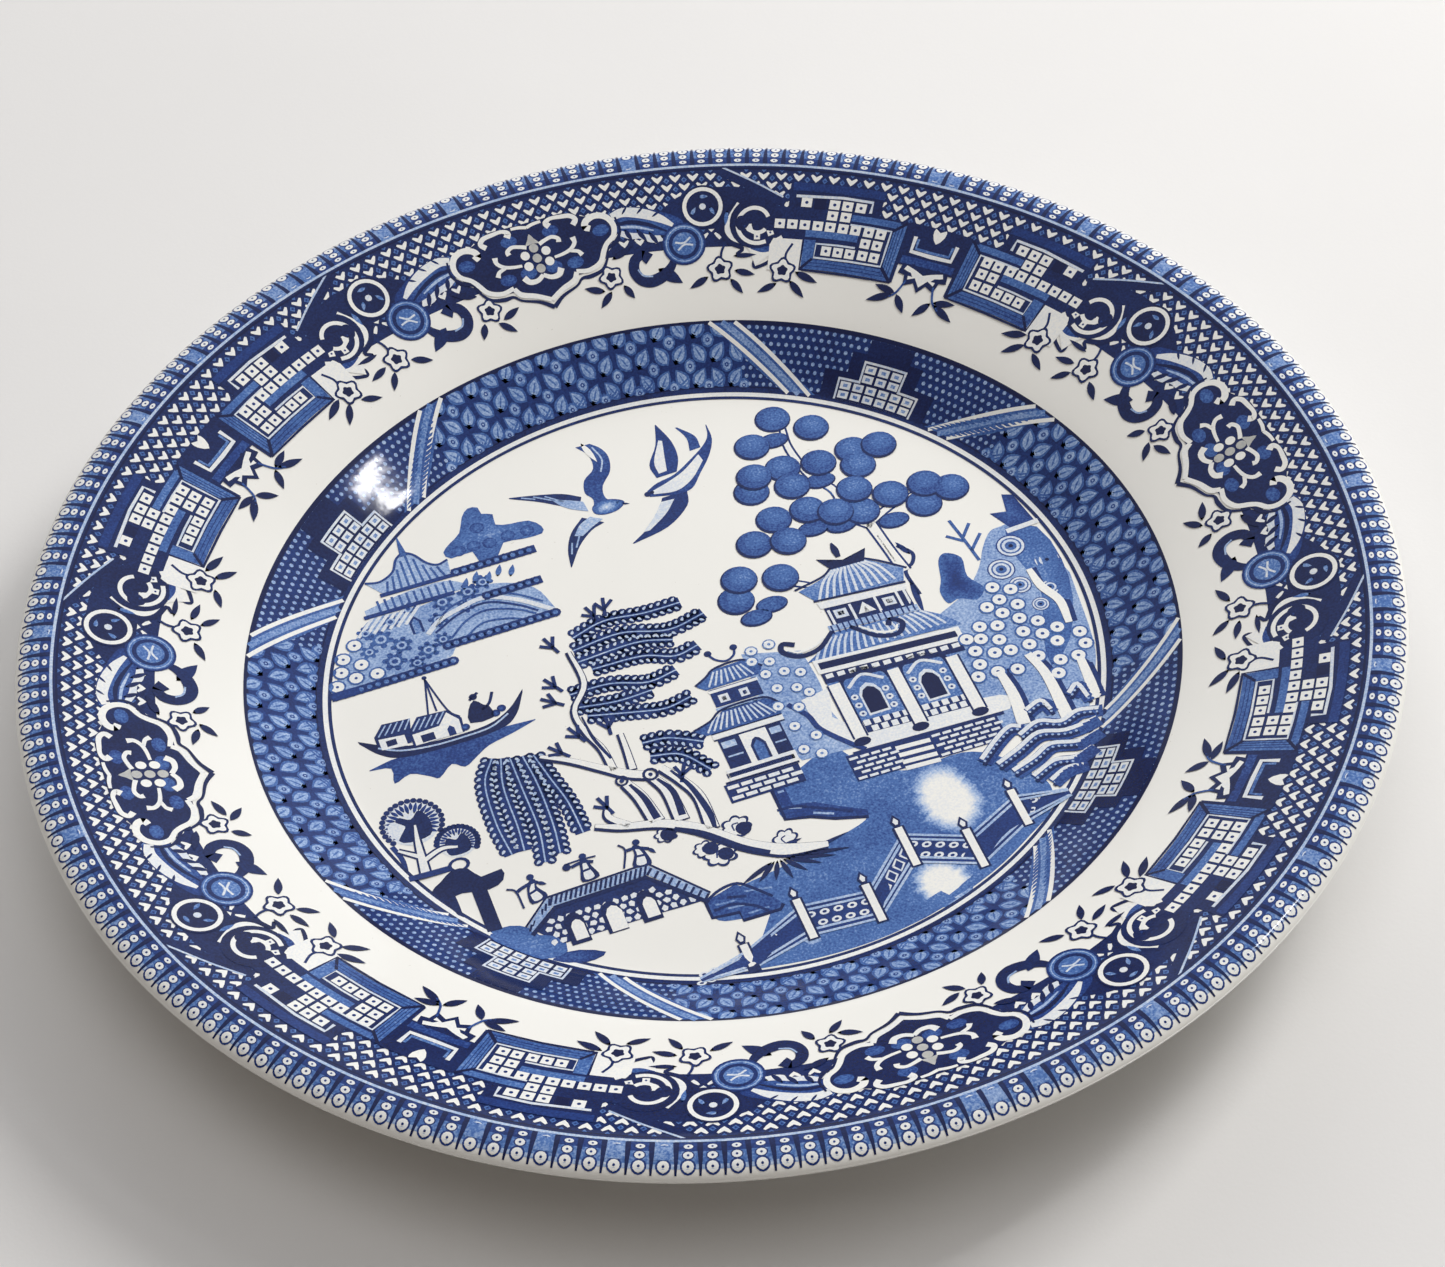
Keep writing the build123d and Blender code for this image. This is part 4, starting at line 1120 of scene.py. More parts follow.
cabin_walls = patch([(-65.4, 3.4), (-65.4, 6.2), (-60.4, 5.6), (-60.4, 2.8)], 0.05, steps=1) \
    + patch([(-59, 2.1), (-59, 5), (-53.6, 5.2), (-51.4, 8), (-49.6, 5.4), (-49.8, 2)], 0.05, steps=1)
cabin_marks = block(-64.2, -62.2, 3.8, 5.3, 0.95) + block(-57.6, -55, 2.3, 4.2, 0.95) \
    + patch([(-52.4, 2), (-52.4, 3.8), (-51.7, 4.6), (-51, 3.8), (-51, 2)], 0.85, steps=1)
roof_hatch = strokes([[(-65.2 + k * 1.3, 6.8), (-63.2 + k * 1.2, 9.2)] for k in range(5)], 0.3, 0.3,
                     steps=1) \
    + strokes([[(-58.6 + k * 1.2, 5.8), (-56.6 + k * 1.2, 8.4)] for k in range(5)], 0.3, 0.3, steps=1)
rigging = strokes([
    [(-52.9, 18), (-53, 9)], [(-52.9, 17.6), (-54.8, 8.6)], [(-52.9, 17.6), (-51, 8.6), (-49.2, 6)]], 0.4,
    0.9) + disc(0.5, 0.9).at([(-52.9, 18.1)])
boatman = patch([(-47.8, 3.6), (-47.2, 7), (-45.6, 8.9), (-44.2, 7.2), (-43.2, 6.4), (-43.2, 3.4)], 0.97,
                steps=2) \
    + disc(0.8, 0.95).at([(-45.5, 9.8)]) + strokes([[(-44.8, 6), (-43, 7.2), (-41.7, 9.7)],
        [(-46.4, 9.2), (-44.4, 10.6)]], 0.6, 0.92)
boat_load = disc(0.9, 0.9, 0.6).at([(-49, 3), (-42.6, 4.2), (-41.2, 5)])
landscape(
    "boat", 1, boat_shadow, hull + cabins + rigging, hull_stripe + cabin_walls + roof_hatch + boatman
    + boat_load, cabin_marks)


# Garden and orange grove. Soft tinted ground rises at the right, with ringed
# oranges among the leaves, curling rosettes, a bush and white trunks.
ground_tint = ruled(
    [(44, -5), (52, -1), (57, 4), (60, 9), (63, 12.5), (66, 13), (70, 14)],
    [(44, -38), (52, -39), (58, -38), (62.5, -37), (67, -29.5), (70, -22), (73, -4)], 0.36, across=7)
garden_tint = ruled([(6, 0.5), (5.6, -8), (5.5, -20), (7.5, -29)],
                    [(17, -3), (17.5, -12), (17, -20), (20, -30)], 0.33, across=5)
grove_shade = patch([(60, -25), (66, -20), (71, -10), (73, 0), (72, 10), (66, 12), (65, 4), (66, -6),
                     (62, -16)], 0.62, 0.5, steps=2)
oranges = [
    (54.5, -6.3), (57.5, -5.3), (60.3, -7.8), (56.7, -8.8), (51.2, -10.5), (54.5, -11.5), (59.2, -11.3),
    (50.2, -13.5),
    (53.4, -15), (58.5, -14.8), (62.2, -13.3), (48, -16), (51.3, -17.8), (54.4, -18.3), (58.3, -18.3),
    (61.7, -16.7),
    (65, -16.2), (47.5, -19.5), (63.6, -19.5), (68.5, -19), (46, -22.3), (50, -22.5), (53.7, -23.3),
    (58.7, -21.7),
    (62.2, -24.2), (65.8, -24.5), (68.3, -22.2), (60.5, -27.2), (57.5, -1.8), (60.6, -3.6), (47.6, -12.6)]
orange = disc(1.75, 0.58, sides=12) | disc(1.35, 0.04, sides=14) | disc(0.4, 0.7, sides=6)
garden_rings = [
    (7.2, -2.2), (10.4, -3.4), (8.6, -6.2), (12.2, -6.8), (15, -8.2), (9.4, -10.4), (13, -11.6), (8, -14.8),
    (11.6, -16.4),
    (9.2, -20.6), (12.2, -24.2), (8.8, -26.6), (11.6, -28.8), (14.8, -13.6), (8.0, 0.4), (11.8, 0.8)]
small_ring = disc(1.35, 0.5, sides=10) | disc(1.05, 0.06, sides=10) | disc(0.35, 0.45, sides=6)
rosette = disc(1.0, 0.75, sides=18) | disc(0.9, 0.12, sides=18) | disc(0.72, 0.62, sides=16) \
    | disc(0.6, 0.15, sides=14) \
    | disc(0.4, 0.6, sides=12) | disc(0.16, 1.0, sides=8)
rosettes = rosette.at([(65.2, 7.2), (61, 2), (62.8, -3.2), (70.3, 1), (68, -6), (64.5, -9.4)], 0,
                      [3.0, 2.8, 2.3, 2.7, 2.0, 1.8])
dark_bush = patch([(49, 4), (50.5, 9), (52.5, 10.4), (55, 8), (54.2, 3), (56, -1), (53.6, -3.6), (50.5, -2),
                   (48, -2.4), (47.6, 1)], 0.6, 0.88)
bush_twigs = strokes([
    [(58, 6), (57.4, 12), (56.6, 18.4)], [(57.4, 13), (60, 16.2)], [(57.2, 12), (54.4, 14.6)],
    [(57.6, 9), (61, 12.8)]], 0.7, 0.6)
white_trunks = [
    [(50.2, -22.5, 1.6), (50.4, -29, 2.2), (49.4, -36.5, 2.6)],
    [(57, -20.5, 1.6), (58.2, -27, 2.0), (57.6, -39, 2.6)],
    [(65.8, -25.5, 1.6), (65.2, -31, 2.0), (64.4, -36, 2.2)],
    [(66, 0, 1.2), (66.4, -5, 1.8), (68.2, -10, 1.8), (67.6, -16, 1.4)]]
trunk_shades = together([stroke([(x + 0.5, y, w + 1.1) for x, y, w in row], ink=0.85)
                         for row in white_trunks])
trunk_lights = together([stroke(row, ink=white_ink) for row in white_trunks])
edge_roof = patch([(64.8, 17), (68, 16), (69, 21), (71, 20), (72.4, 11), (67, 12)], 0.8, 0.6, steps=1)
edge_beam = lines([(66, 11.2), (73, 11.4)], 1.2, 0.08)
landscape(
    "orange_grove", 1, ground_tint + garden_tint, grove_shade + dark_bush + bush_twigs + edge_roof,
    trunk_shades + rosettes + edge_beam, orange.at(oranges) + small_ring.at(garden_rings), trunk_lights)


# Rocks. White, dotted, wavy ledges with dark hollows under them pile up
# between the grove and the water.
ledges = [
    [(38.6, -41.5), (43, -38), (46.5, -36), (48.6, -36.8)],
    [(47.5, -38.6), (52, -36.8), (56, -38.4), (60, -37.2), (64, -38.4)],
    [(41, -43.6), (46, -41.6), (51, -39.4), (56, -40.8), (62.5, -40.4)],
    [(43, -46.2), (48, -44.6), (52, -42.8), (57, -44.2), (61.5, -43.6)],
    [(46, -48.8), (51, -46.8), (55, -47.6), (59, -46.6)], [(48.6, -51), (52.4, -49.4), (56, -50)],
    [(51, -33.4), (54.5, -32.2), (55.5, -35)], [(60.2, -32.6), (62.6, -31), (63.2, -35)]]
ledge_shadow = strokes([[(x + 0.2, y - 1.0) for x, y in row] for row in ledges], 3.0, 0.72)
ledge_tint = strokes([[(x, y - 1.5) for x, y in row] for row in ledges], 0.8, 0.94)
ledge_light = strokes(ledges, 0.9, 0.08)
ledge_dots = together([disc(0.3, 0.3, sides=6).at(places_along([(x, y - 1.0) for x, y in row], 1.15)[0])
                       for row in ledges])
landscape("rocks", 12, ledge_shadow, ledge_tint, ledge_light + ledge_dots)


# Willow. Bare forked limbs rise from roots on the near bank; the fronds are
# rows of small leaves set either side of a stem, pale on dark.
def fronds(rows, reach=1.85):
    """Fronds along smooth curves: a dark core, round leaf tips each side, and a pale leaf on each tip."""
    core = strokes(rows, reach * 1.6, 0.84, steps=6)
    tips, leaflets = [], []
    tip = disc(0.95, 0.9, sides=9)
    leaflet = leaf((-0.62, 0), (0.62, 0), 0.6, 0.2)
    for row in rows:
        for side in (-1, 1):
            spots, heading = places_along(row, 1.5, side * reach * 0.66)
            tips.append(tip.at(spots))
            leaflets.append(leaflet.at(spots, heading + side * 48))
    stem = strokes(rows, 0.3, 0.3, steps=6)
    return core + together(tips) | together(leaflets) + stem


side_fronds = [
    [(-23, 17), (-16, 19), (-8, 18), (-0.5, 18)], [(-24, 13.8), (-14, 14.7), (-5, 12.0), (2.8, 13.5)],
    [(-24, 10.6), (-12, 11.2), (-5, 9.2)], [(-22, 7.8), (-12, 7.4), (-6, 5), (-1, 6)],
    [(-28, 3.2), (-20, 3), (-13, 0.6), (-7, 1.5)],
    [(-28, -0.4), (-20, -1.8), (-13, -1.6)], [(-26.5, -3.2), (-18, -5.6), (-12, -7), (-6.5, -6)],
    [(-19, -13.6), (-14, -14.2), (-8, -17.6)], [(-18.6, -17.2), (-13, -19), (-9, -24.6)]]
hanging_fronds = [
    [(-46.6, -6.4), (-49.6, -12), (-50.4, -22), (-49.8, -30)],
    [(-45, -7), (-46.6, -14), (-46.9, -24), (-47.4, -30)],
    [(-43.4, -7.6), (-43.4, -16), (-43.4, -26), (-44.6, -34)],
    [(-41, -8), (-40.4, -16), (-40.6, -26), (-41.4, -33)],
    [(-39, -8.6), (-37.8, -15), (-36.4, -22), (-36.0, -30)]]
landscape("willow_fronds", 2, fronds(side_fronds + hanging_fronds))
limb_rows = [
    [(-38, -9.5, 0.7), (-33, -12.5, 1.1), (-28, -16.5, 1.4), (-24, -19.6, 1.8), (-20, -21.6, 1.8)],
    [(-24.8, 14, 0.6), (-24.5, 5, 1.0), (-28.4, -1, 0.9), (-28.0, -7, 1.0), (-26.4, -12, 1.2),
     (-26, -18, 1.3)],
    [(-22, -9.6, 0.8), (-22.2, -14, 1.0), (-22.6, -19, 1.3)],
    [(-33.5, -29.4, 0.8), (-29, -31.4, 1.3), (-22, -33.4, 1.8), (-16, -37, 2.2), (-10, -43, 2.4),
     (-6, -46, 2.5), (-2, -48, 2.5), (5, -49.5, 1.2)],
    [(-25, -21.6, 1.8), (-23.4, -26, 2.4), (-22.4, -32.6, 2.8)],
    [(-20, -22, 1.6), (-18.2, -26.5, 2.2), (-18, -34, 2.6)],
    [(-17.6, -20.6, 1.4), (-15, -25, 1.8), (-13.2, -30, 2.0), (-13.4, -38, 2.4)],
    [(-30, -26, 0.8), (-30.4, -28.4, 1.2), (-27.5, -31.6, 1.4)]]
limb_edges = together([stroke([(x - 0.2, y - 0.25, w + 0.75) for x, y, w in row], ink=0.95)
                       for row in limb_rows])
limb_white = together([stroke(row, ink=0.03) for row in limb_rows])
limb_shade = together([stroke(row, ink=0.93) for row in (
    [(-24.4, -22.4, 0.6), (-22.9, -26.5, 1.2), (-22.2, -32, 1.5)],
    [(-19.2, -23, 0.6), (-17.4, -27, 1.2), (-17.6, -33, 1.4)],
    [(-16.2, -22, 0.5), (-14.0, -27, 1.0), (-12.8, -34, 1.3), (-13, -38, 0.8)],
    [(-20, -35.4, 0.6), (-15.4, -38.6, 1.1), (-10, -44.2, 1.2), (-5.6, -47.4, 1.0)],
    [(-27.6, -3, 0.3), (-27.2, -9, 0.7), (-25.6, -15, 0.6)])])
knots = ring(1.4, 0.9, 0.95, 12).at([(-25.5, -21), (-20, -21.5)], 0, [0.95, 1.15]) \
    + disc(0.45, 0.9).at([(-25.5, -21), (-20, -21.5)])
tridents = [(-27.5, 16.6, 20), (-14.8, 22.4, -12), (-17.4, 21.4, 20), (-30.2, 6.6, 30), (-31.6, 2.6, 50),
            (-29.8, -7, 25), (-23.6, -7, -5), (-34.2, -9.8, 40), (-30.2, -25.6, 20), (-14.2, -23.4, -25)]
trident = strokes([[(0, -2.4), (0, 2.6)], [(0, -0.4), (1.7, 1.8)], [(0, -0.8), (-1.8, 1.4)]], 0.75, 0.88)
twig_marks = together([trident.at([(x, y)], turn) for x, y, turn in tridents])
lobe_turn = np.linspace(0, 2 * np.pi, 56, endpoint=False)
lobe_reach = 0.86 + 0.26 * np.abs(np.sin(3.5 * lobe_turn))
lobes = np.stack([lobe_reach * np.sin(lobe_turn), 0.82 * lobe_reach * np.cos(lobe_turn)], axis=-1)
puff = patch(lobes * 1.12, 0.9, steps=1) | patch(lobes * 0.9, 0.03, steps=1) \
    | stroke([(-0.3, -0.2), (-0.1, 0.3), (0.35, 0.2)], 0.12, 0.85)
puffs = puff.at([(-22, -36.3), (-9.4, -39.4), (-14.2, -44.4), (-2, -45.6), (-16.4, -42.2)],
                [0, 20, 0, 40, 10], [1.9, 2.6, 2.8, 2.3, 2.0])
puff_hearts = disc(1.5, 0.95).at([(-21.6, -36.4), (-8.2, -40.2), (-13.2, -44.6), (-15.4, -42.4)]) \
    + leaf((-3.6, -47), (1.0, -46.4), 1.0, 0.9)
roots = together([leaf((-6 + k * 0.5, -49.6), (-13 + k * 3.1, -54.6 + abs(k - 3) * 0.7), 1.0, 0.95)
                  for k in range(8)])
roots = roots + leaf((0, -50), (9.5, -48.2), 0.8, 0.9)
landscape("willow_limbs", 6, puffs, puff_hearts + limb_edges + roots, limb_white, limb_shade + knots
          + twig_marks)


# Tea house. The largest building: a crowned upper storey under a striped
# roof, a curling lower roof, and an arched, columned hall on a brick base.
crown = patch([(28.2, 18.5), (30, 16.6), (32.6, 16.2), (35.4, 16.6), (38.4, 17.8), (37, 14.6), (30, 14.8)],
              0.97, steps=1) \
    + stroke([(32.6, 21.6, 0.4), (32.6, 19.6, 1.5), (32.6, 17.5, 1.0)], ink=0.95)
roof_top = ruled([(30.2, 15), (27.6, 13.2), (22.0, 11.6)], [(37, 15), (39.8, 12.8), (43.4, 9.8)], 0.5,
                 across=3)
roof_low = ruled([(22, 11.6), (24.2, 8.0)], [(43.4, 9.8), (42.2, 6.6)], 0.5)
roof_bars = strokes([[(33.6 + (x - 33) * 0.42, 14.6), (33.4 + (x - 33) * 0.75, 12), (x, 7.6)]
                     for x in np.arange(24.8, 42, 1.6)], 0.55, 0.14)
roof_line = lines([(23.8, 8.0), (42.4, 6.2)], 0.5, 0.95) \
    + stroke([(21.4, 12.2), (27.6, 13.6), (30, 15.2)], 0.5, 0.95) \
    + stroke([(44, 9.6), (40, 13.2), (37.2, 15.2)], 0.5, 0.95)
upper_beam = ruled([(24.2, 7.4), (24.4, 5.6)], [(42.2, 5.8), (42, 4.2)], 0.05)
storey = ruled([(25, 5.8), (25, -0.6)], [(41.6, 4.4), (41.8, -1.6)], 0.93)
storey_marks = together([patch(points, strength, steps=1) for points, strength in (
    ([(26.4, 4.4), (29, 4.2), (29, 1.9), (26.4, 2.1)], 0.12),
    ([(36.4, 3.8), (38.8, 3.6), (38.8, 1.4), (36.4, 1.6)], 0.12),
    ([(30.8, 1.6), (32.6, 4.4), (34.4, 1.4)], 0.05),
    ([(27.1, 3.8), (28.3, 3.7), (28.3, 2.6), (27.1, 2.7)], 0.85),
    ([(37, 3.2), (38.2, 3.1), (38.2, 2.0), (37, 2.1)], 0.85),
    ([(32.1, 1.7), (32.6, 3.2), (33.1, 1.6)], 0.9))])
storey_posts = strokes([[(x, 4.8), (x, 0.4)] for x in (25.6, 30, 35.2, 39.6, 41.2)], 0.55, 0.08, steps=1)
rail = ruled([(24, 0.9), (24, -0.7)], [(42.2, -0.2), (42.2, -1.9)], 0.3)
rail_bars = strokes([[(x, 0.8), (x, -1.6)] for x in np.arange(24.6, 42, 1.2)], 0.35, 0.85, steps=1)
lower_roof = ruled([(24, -1), (20.5, -4.4), (17, -6.6)], [(42.4, -2), (46, -5), (48.4, -8.4)], 0.5, across=4)
lower_bars = strokes([[(33 + (x - 33) * 0.72, -2), (33 + (x - 33) * 0.86, -4), (x, -7)]
                      for x in np.arange(18.6, 47, 1.5)], 0.5, 0.14)
curl = stroke([(24.4, -0.6, 0.9), (20.6, -3.9, 1.1), (16.4, -4.4, 1.1), (13.6, -2.2, 1.2), (14.2, -0.2, 1.1),
               (16.4, -1.2, 1.2)], ink=0.95) \
    + stroke([(28, -0.8, 0.9), (32, -5.0, 1.1), (36, -6.0, 1.1), (37.8, -3.7, 1.2), (36, -2.0, 1.1),
              (35.0, -3.4, 1.2)], ink=0.95)
curl_light = stroke([(22.6, -1.4, 0.4), (19.8, -3.0, 0.6), (16.6, -3.4, 0.5), (14.8, -2.2, 0.4)], ink=0.03) \
    + stroke([(29.6, -1.4, 0.4), (32.6, -4.2, 0.6), (35.6, -5.0, 0.5), (36.8, -3.7, 0.4)], ink=0.03)
beam = ruled([(18, -6.5), (18, -10.2)], [(47.4, -8.7), (47.4, -12.4)], 0.04)
beam_bar = ruled([(18.8, -7.4), (18.8, -9.2)], [(46.4, -9.6), (46.4, -11.2)], 0.97)
frieze = ruled([(18.4, -10.2), (18.4, -13)], [(46.4, -12.2), (46.4, -15)], 0.92)
frieze_squares = block(-0.75, 0.75, -0.55, 0.55, 0.06).at([(x, -11.2 - (x - 19) * 0.075)
    for x in np.arange(19.8, 46, 2.3)])
hall = ruled([(18.6, -12.8), (18.8, -27.6)], [(44.4, -14.8), (44.4, -28.8)], 0.5, across=5)
arch_line = stroke([(20.8, -15.6), (21.6, -13.2), (25.5, -11.8), (29.6, -13.4), (30.6, -16)], 1.0, 0.95) \
    + stroke([(32.6, -16.4), (33.4, -14), (37.2, -12.8), (41.4, -14.4), (42.2, -17)], 1.0, 0.95)
arch_light = stroke([(22, -15.6), (25.5, -13.2), (29.2, -15.6)], 0.7, 0.1) \
    + stroke([(33.8, -16.4), (37.2, -14.2), (41, -16.4)], 0.7, 0.1)
hall_rings = disc(0.75, 0.1, sides=8) | disc(0.3, 0.8, sides=6)
hall_ring_places = [(x, y) for x in (22.3, 28.6, 34.2, 40.4) for y in (-18.2, -20.4, -22.6)]
door_shape = [(-1.9, -3.4), (-1.9, 1.4), (-1.2, 2.9), (0, 3.6), (1.2, 2.9), (1.9, 1.4), (1.9, -3.4)]
doors = patch(door_shape, 0.12, steps=1).at([(25.5, -19.6), (37.2, -20.6)], 0, 1.16) \
    | patch(door_shape, 1.0, steps=1).at([(25.5, -19.8), (37.2, -20.8)], 0, 0.95)
parapet = ruled([(21.4, -24.2), (21.4, -27.4)], [(42, -25.4), (42, -28.6)], 0.88)
parapet_blocks = block(-0.65, 0.65, -0.7, 0.7, 0.06).at(
    [(x, -24.9 - (x - 21) * 0.05) for x in np.arange(22.2, 42, 1.95)]
    + [(x, -26.6 - (x - 21) * 0.05) for x in np.arange(23.2, 42, 1.95)])
columns = together([block(x - 1.15, x + 1.15, bottom, top, 0.03) for x, top,
                    bottom in ((19.8, -13.6, -28), (31.6, -14.2, -29), (43.2, -15.4, -30))])
column_sides = together([block(x + side - 0.2, x + side + 0.2, bottom, top, 0.93) for x, top, bottom in (
    (19.8, -13.6, -28), (31.6, -14.2, -29), (43.2, -15.4, -30)) for side in (-1.35, 1.35)])
column_feet = disc(1.7, 0.97, sides=14, flat=0.62).at([(19.7, -29), (31.2, -29.7), (43, -30.5)])
terrace = ruled([(12.6, -15), (13.4, -23), (16.4, -28), (19, -31.2)],
                [(18.6, -14), (18.8, -24), (48, -28), (48.4, -32)], 0.05, steps=3)
ramp = stroke([(9.8, -15), (12.4, -19), (13.4, -23), (17, -28), (19.6, -31)], 1.1, 0.8) \
    + lines([(17, -31.2), (47, -32.4)], 0.8, 0.9)
brick_base = ruled([(15.4, -31.2), (15.4, -37.8)], [(45.4, -32.4), (45.4, -38.6)], 0.88)
brick = block(-0.85, 0.85, -0.3, 0.3, 0.08)
brick_places = [(x + (row % 2) * 1.1, -32.2 - row * 1.25 - (x - 15) * 0.03) for row in range(5)
                for x in np.arange(16.6, 24, 2.2)]
brick_places += [(x + (row % 2) * 1.1, -32.2 - row * 1.25 - (x - 15) * 0.03) for row in range(5)
                 for x in np.arange(33, 44.2, 2.2)]
stairs = strokes([[(24.8, y), (31.6, y - 0.4)] for y in (-33.0, -34.8, -36.6, -38.2)], 1.0, 0.04, steps=1)
landscape(
    "tea_house", 6, terrace + roof_top + roof_low + lower_roof + storey + hall + brick_base,
    roof_bars + lower_bars + rail + upper_beam + beam + frieze + ramp + stairs + brick.at(brick_places)
    + parapet + storey_posts,
    roof_line + crown + storey_marks + rail_bars + beam_bar + frieze_squares + curl + arch_line + doors
    + parapet_blocks
    + hall_rings.at(hall_ring_places), columns + column_sides + arch_light + curl_light, column_feet)


# Summer house. A smaller two-storey pavilion on a brick plinth, with balls on
# its ridge and a blue arched door.
house_top = ruled([(0, -1.2), (-2.4, -2.4), (-4.8, -4.0), (-3.4, -5.8)],
                  [(5.4, -1.0), (7, -2.2), (8.6, -3.8), (7.4, -5.6)], 0.62, across=3)
house_bars = strokes([[(2.6 + (x - 2.6) * 0.6, -1.8), (x, -5.2)] for x in np.arange(-2.6, 7.2, 1.3)], 0.4,
                     0.16, steps=1)
house_balls = disc(0.75, 0.9).at([(0, 3), (5.2, 2.8)]) \
    + stroke([(0, 2.6), (1, 0.9), (2.8, 0), (4.6, 0.9), (5.2, 2.4)], 0.5, 0.8)
house_wall = block(-3, 6.6, -10.6, -6, 0.85) + block(-3.2, 6.8, -11.8, -10.8, 0.3)
house_lights = block(-3.2, 6.8, -6.9, -6.2, 0.05) + block(-1.8, 0.2, -9.8, -7.8, 0.1) \
    + block(2.4, 4.2, -9.8, -7.8, 0.1) \
    + block(-1.2, -0.4, -9.4, -8.4, 0.85) + block(3.0, 3.7, -9.4, -8.4, 0.85)
house_skirt = ruled([(-2, -11.6), (-5.2, -13.6), (-8.8, -14.6), (-7, -16.6)],
                    [(6, -11.6), (7.6, -12.8), (8.6, -14.4), (8, -16.6)], 0.66, across=3)
skirt_bars = strokes([[(1 + (x - 1) * 0.62, -12.2), (x, -16)] for x in np.arange(-6.6, 8, 1.25)], 0.4, 0.16,
                     steps=1)
house_beam = block(-6.2, 8, -18.2, -16.8, 0.05) + lines([(-6.2, -16.7), (8, -16.7)], 0.35, 0.95) \
    + lines([(-6.2, -18.3), (8, -18.3)], 0.35, 0.95)
house_hall = block(-5.6, 7, -26, -18.4, 0.92)
house_panels = block(-5.2, -2.4, -20.8, -19.2, 0.25) + block(4.4, 6.6, -20.8, -19.2, 0.25) \
    + block(-1.4, 3.9, -26, -18.6, 0.04) \
    + strokes([[(-5, -23), (-2, -23)], [(4.4, -23), (6.6, -23)]], 0.4, 0.25, steps=1)
house_door = patch([(-0.2, -26), (-0.2, -22), (0.6, -20.6), (1.3, -20.2), (2, -20.6), (2.8, -22), (2.8, -26)],
                   0.9, steps=1) \
    | patch([(0.3, -26), (0.3, -22.2), (1.3, -20.9), (2.3, -22.2), (2.3, -26)], 0.55, steps=1)
house_plinth = block(-6.6, 7.2, -28.9, -26, 0.05) + lines([(-6.8, -27.4), (6.6, -27.4)], 1.1, 0.9) \
    + lines([(-7.6, -29), (7, -29)], 0.5, 0.95)
house_bricks = block(-8.2, 6.6, -33.9, -29.3, 0.88)
house_brick_places = [(x + (row % 2) * 1.35, -30.2 - row * 1.35) for row in range(3)
                      for x in np.arange(-6.6, 5, 2.7)]
house_brick = block(-1.1, 1.1, -0.42, 0.42, 0.06)
landscape(
    "summer_house", 4, house_top + house_skirt + house_wall + house_hall + house_bricks,
    house_bars + skirt_bars + house_beam + house_panels + house_plinth + house_brick.at(house_brick_places)
    + house_lights,
    house_door + house_balls + stroke([(-5, -4), (-2.4, -2.6), (0, -1), (5.4, -0.8), (8.8, -3.8)], 0.5, 0.95)
    + stroke([(-9, -14.6), (-5.2, -13.4), (-2, -11.4), (6, -11.4), (8.8, -14.2)], 0.5, 0.95))


# Shrub and gateway. At the left edge a fan-shaped shrub with a fringe of
# dots stands behind a dark gateway with upturned eaves.
fan_turns = np.radians(np.arange(-126, 127, 12))
heads = [(-65.0, -16.0, 5.4, 0), (-58.4, -23.4, 3.7, 4)]
fan = together([disc(size * 0.96, 0.1, sides=26).at([(x, y)]) for x, y, size, first in heads])
fan_heart = together([
    patch([(-0.5, -0.72), (-0.66, -0.1), (-0.42, 0.42), (0.0, 0.2), (0.36, 0.5), (0.62, 0.0), (0.46, -0.7)],
          0.93).at(
        [(x, y)], 0, size) for x, y, size, first in heads])
fan_dots = together([disc(0.62, 0.9, sides=8).at(
    [(x + 1.04 * size * math.sin(turn), y + 1.04 * size * math.cos(turn)) for turn in fan_turns[first:]])
    for x, y, size, first in heads])
fan_leaves = together([
    leaf((x + reach_in * size * math.sin(turn), y + reach_in * size * math.cos(turn)),
         (x + 0.98 * size * math.sin(turn), y + 0.98 * size * math.cos(turn)), 0.14 * size, 0.8)
    for x, y, size, first in heads for reach_in, turn in zip((0.45, 0.6) * 40, fan_turns[first:] + 0.1)])
branch_rows = [
    [(-65.9, -28.6, 1.7), (-65.6, -25, 1.4), (-65.2, -20.5, 0.9), (-64.6, -16.5, 0.4)],
    [(-69.2, -21.4, 0.5), (-65.7, -24.2, 0.9)],
    [(-65.6, -25.4, 0.9), (-61.6, -23.8, 0.8), (-58.6, -24.4, 0.5)]]
fan_trunk = together([stroke([(x, y, w + 0.8) for x, y, w in row], ink=0.93) for row in branch_rows]) \
    | together([stroke(row, ink=0.04) for row in branch_rows])
fan_ledge = lines([(-69.4, -28.8), (-61, -28.8)], 1.4, 0.85) \
    + stroke([(-70, -20), (-69, -24), (-69.4, -28.4)], 1.0, 0.8)
lintel = patch([(-66.2, -33.2), (-63.8, -31.2), (-61.2, -29.4), (-58.4, -30), (-56.6, -32.8), (-52.6, -32.4),
                (-53, -35), (-56, -36.2), (-61, -35.2), (-64, -35.6)], 0.97, steps=2)
posts = block(-59.2, -56.4, -45.8, -35, 0.97) \
    + ruled([(-66.4, -33.2), (-64.6, -36), (-63.2, -40)], [(-62.4, -34), (-62.2, -37), (-62.2, -41)], 0.95)
gate_ball = ring(2.1, 1.4, 0.9, 14, flat=0.8).at([(-59.6, -28.6)])
landscape("gateway", 1, fan + fan_ledge, fan_leaves + fan_dots + fan_heart, fan_trunk, lintel + posts
          + gate_ball)


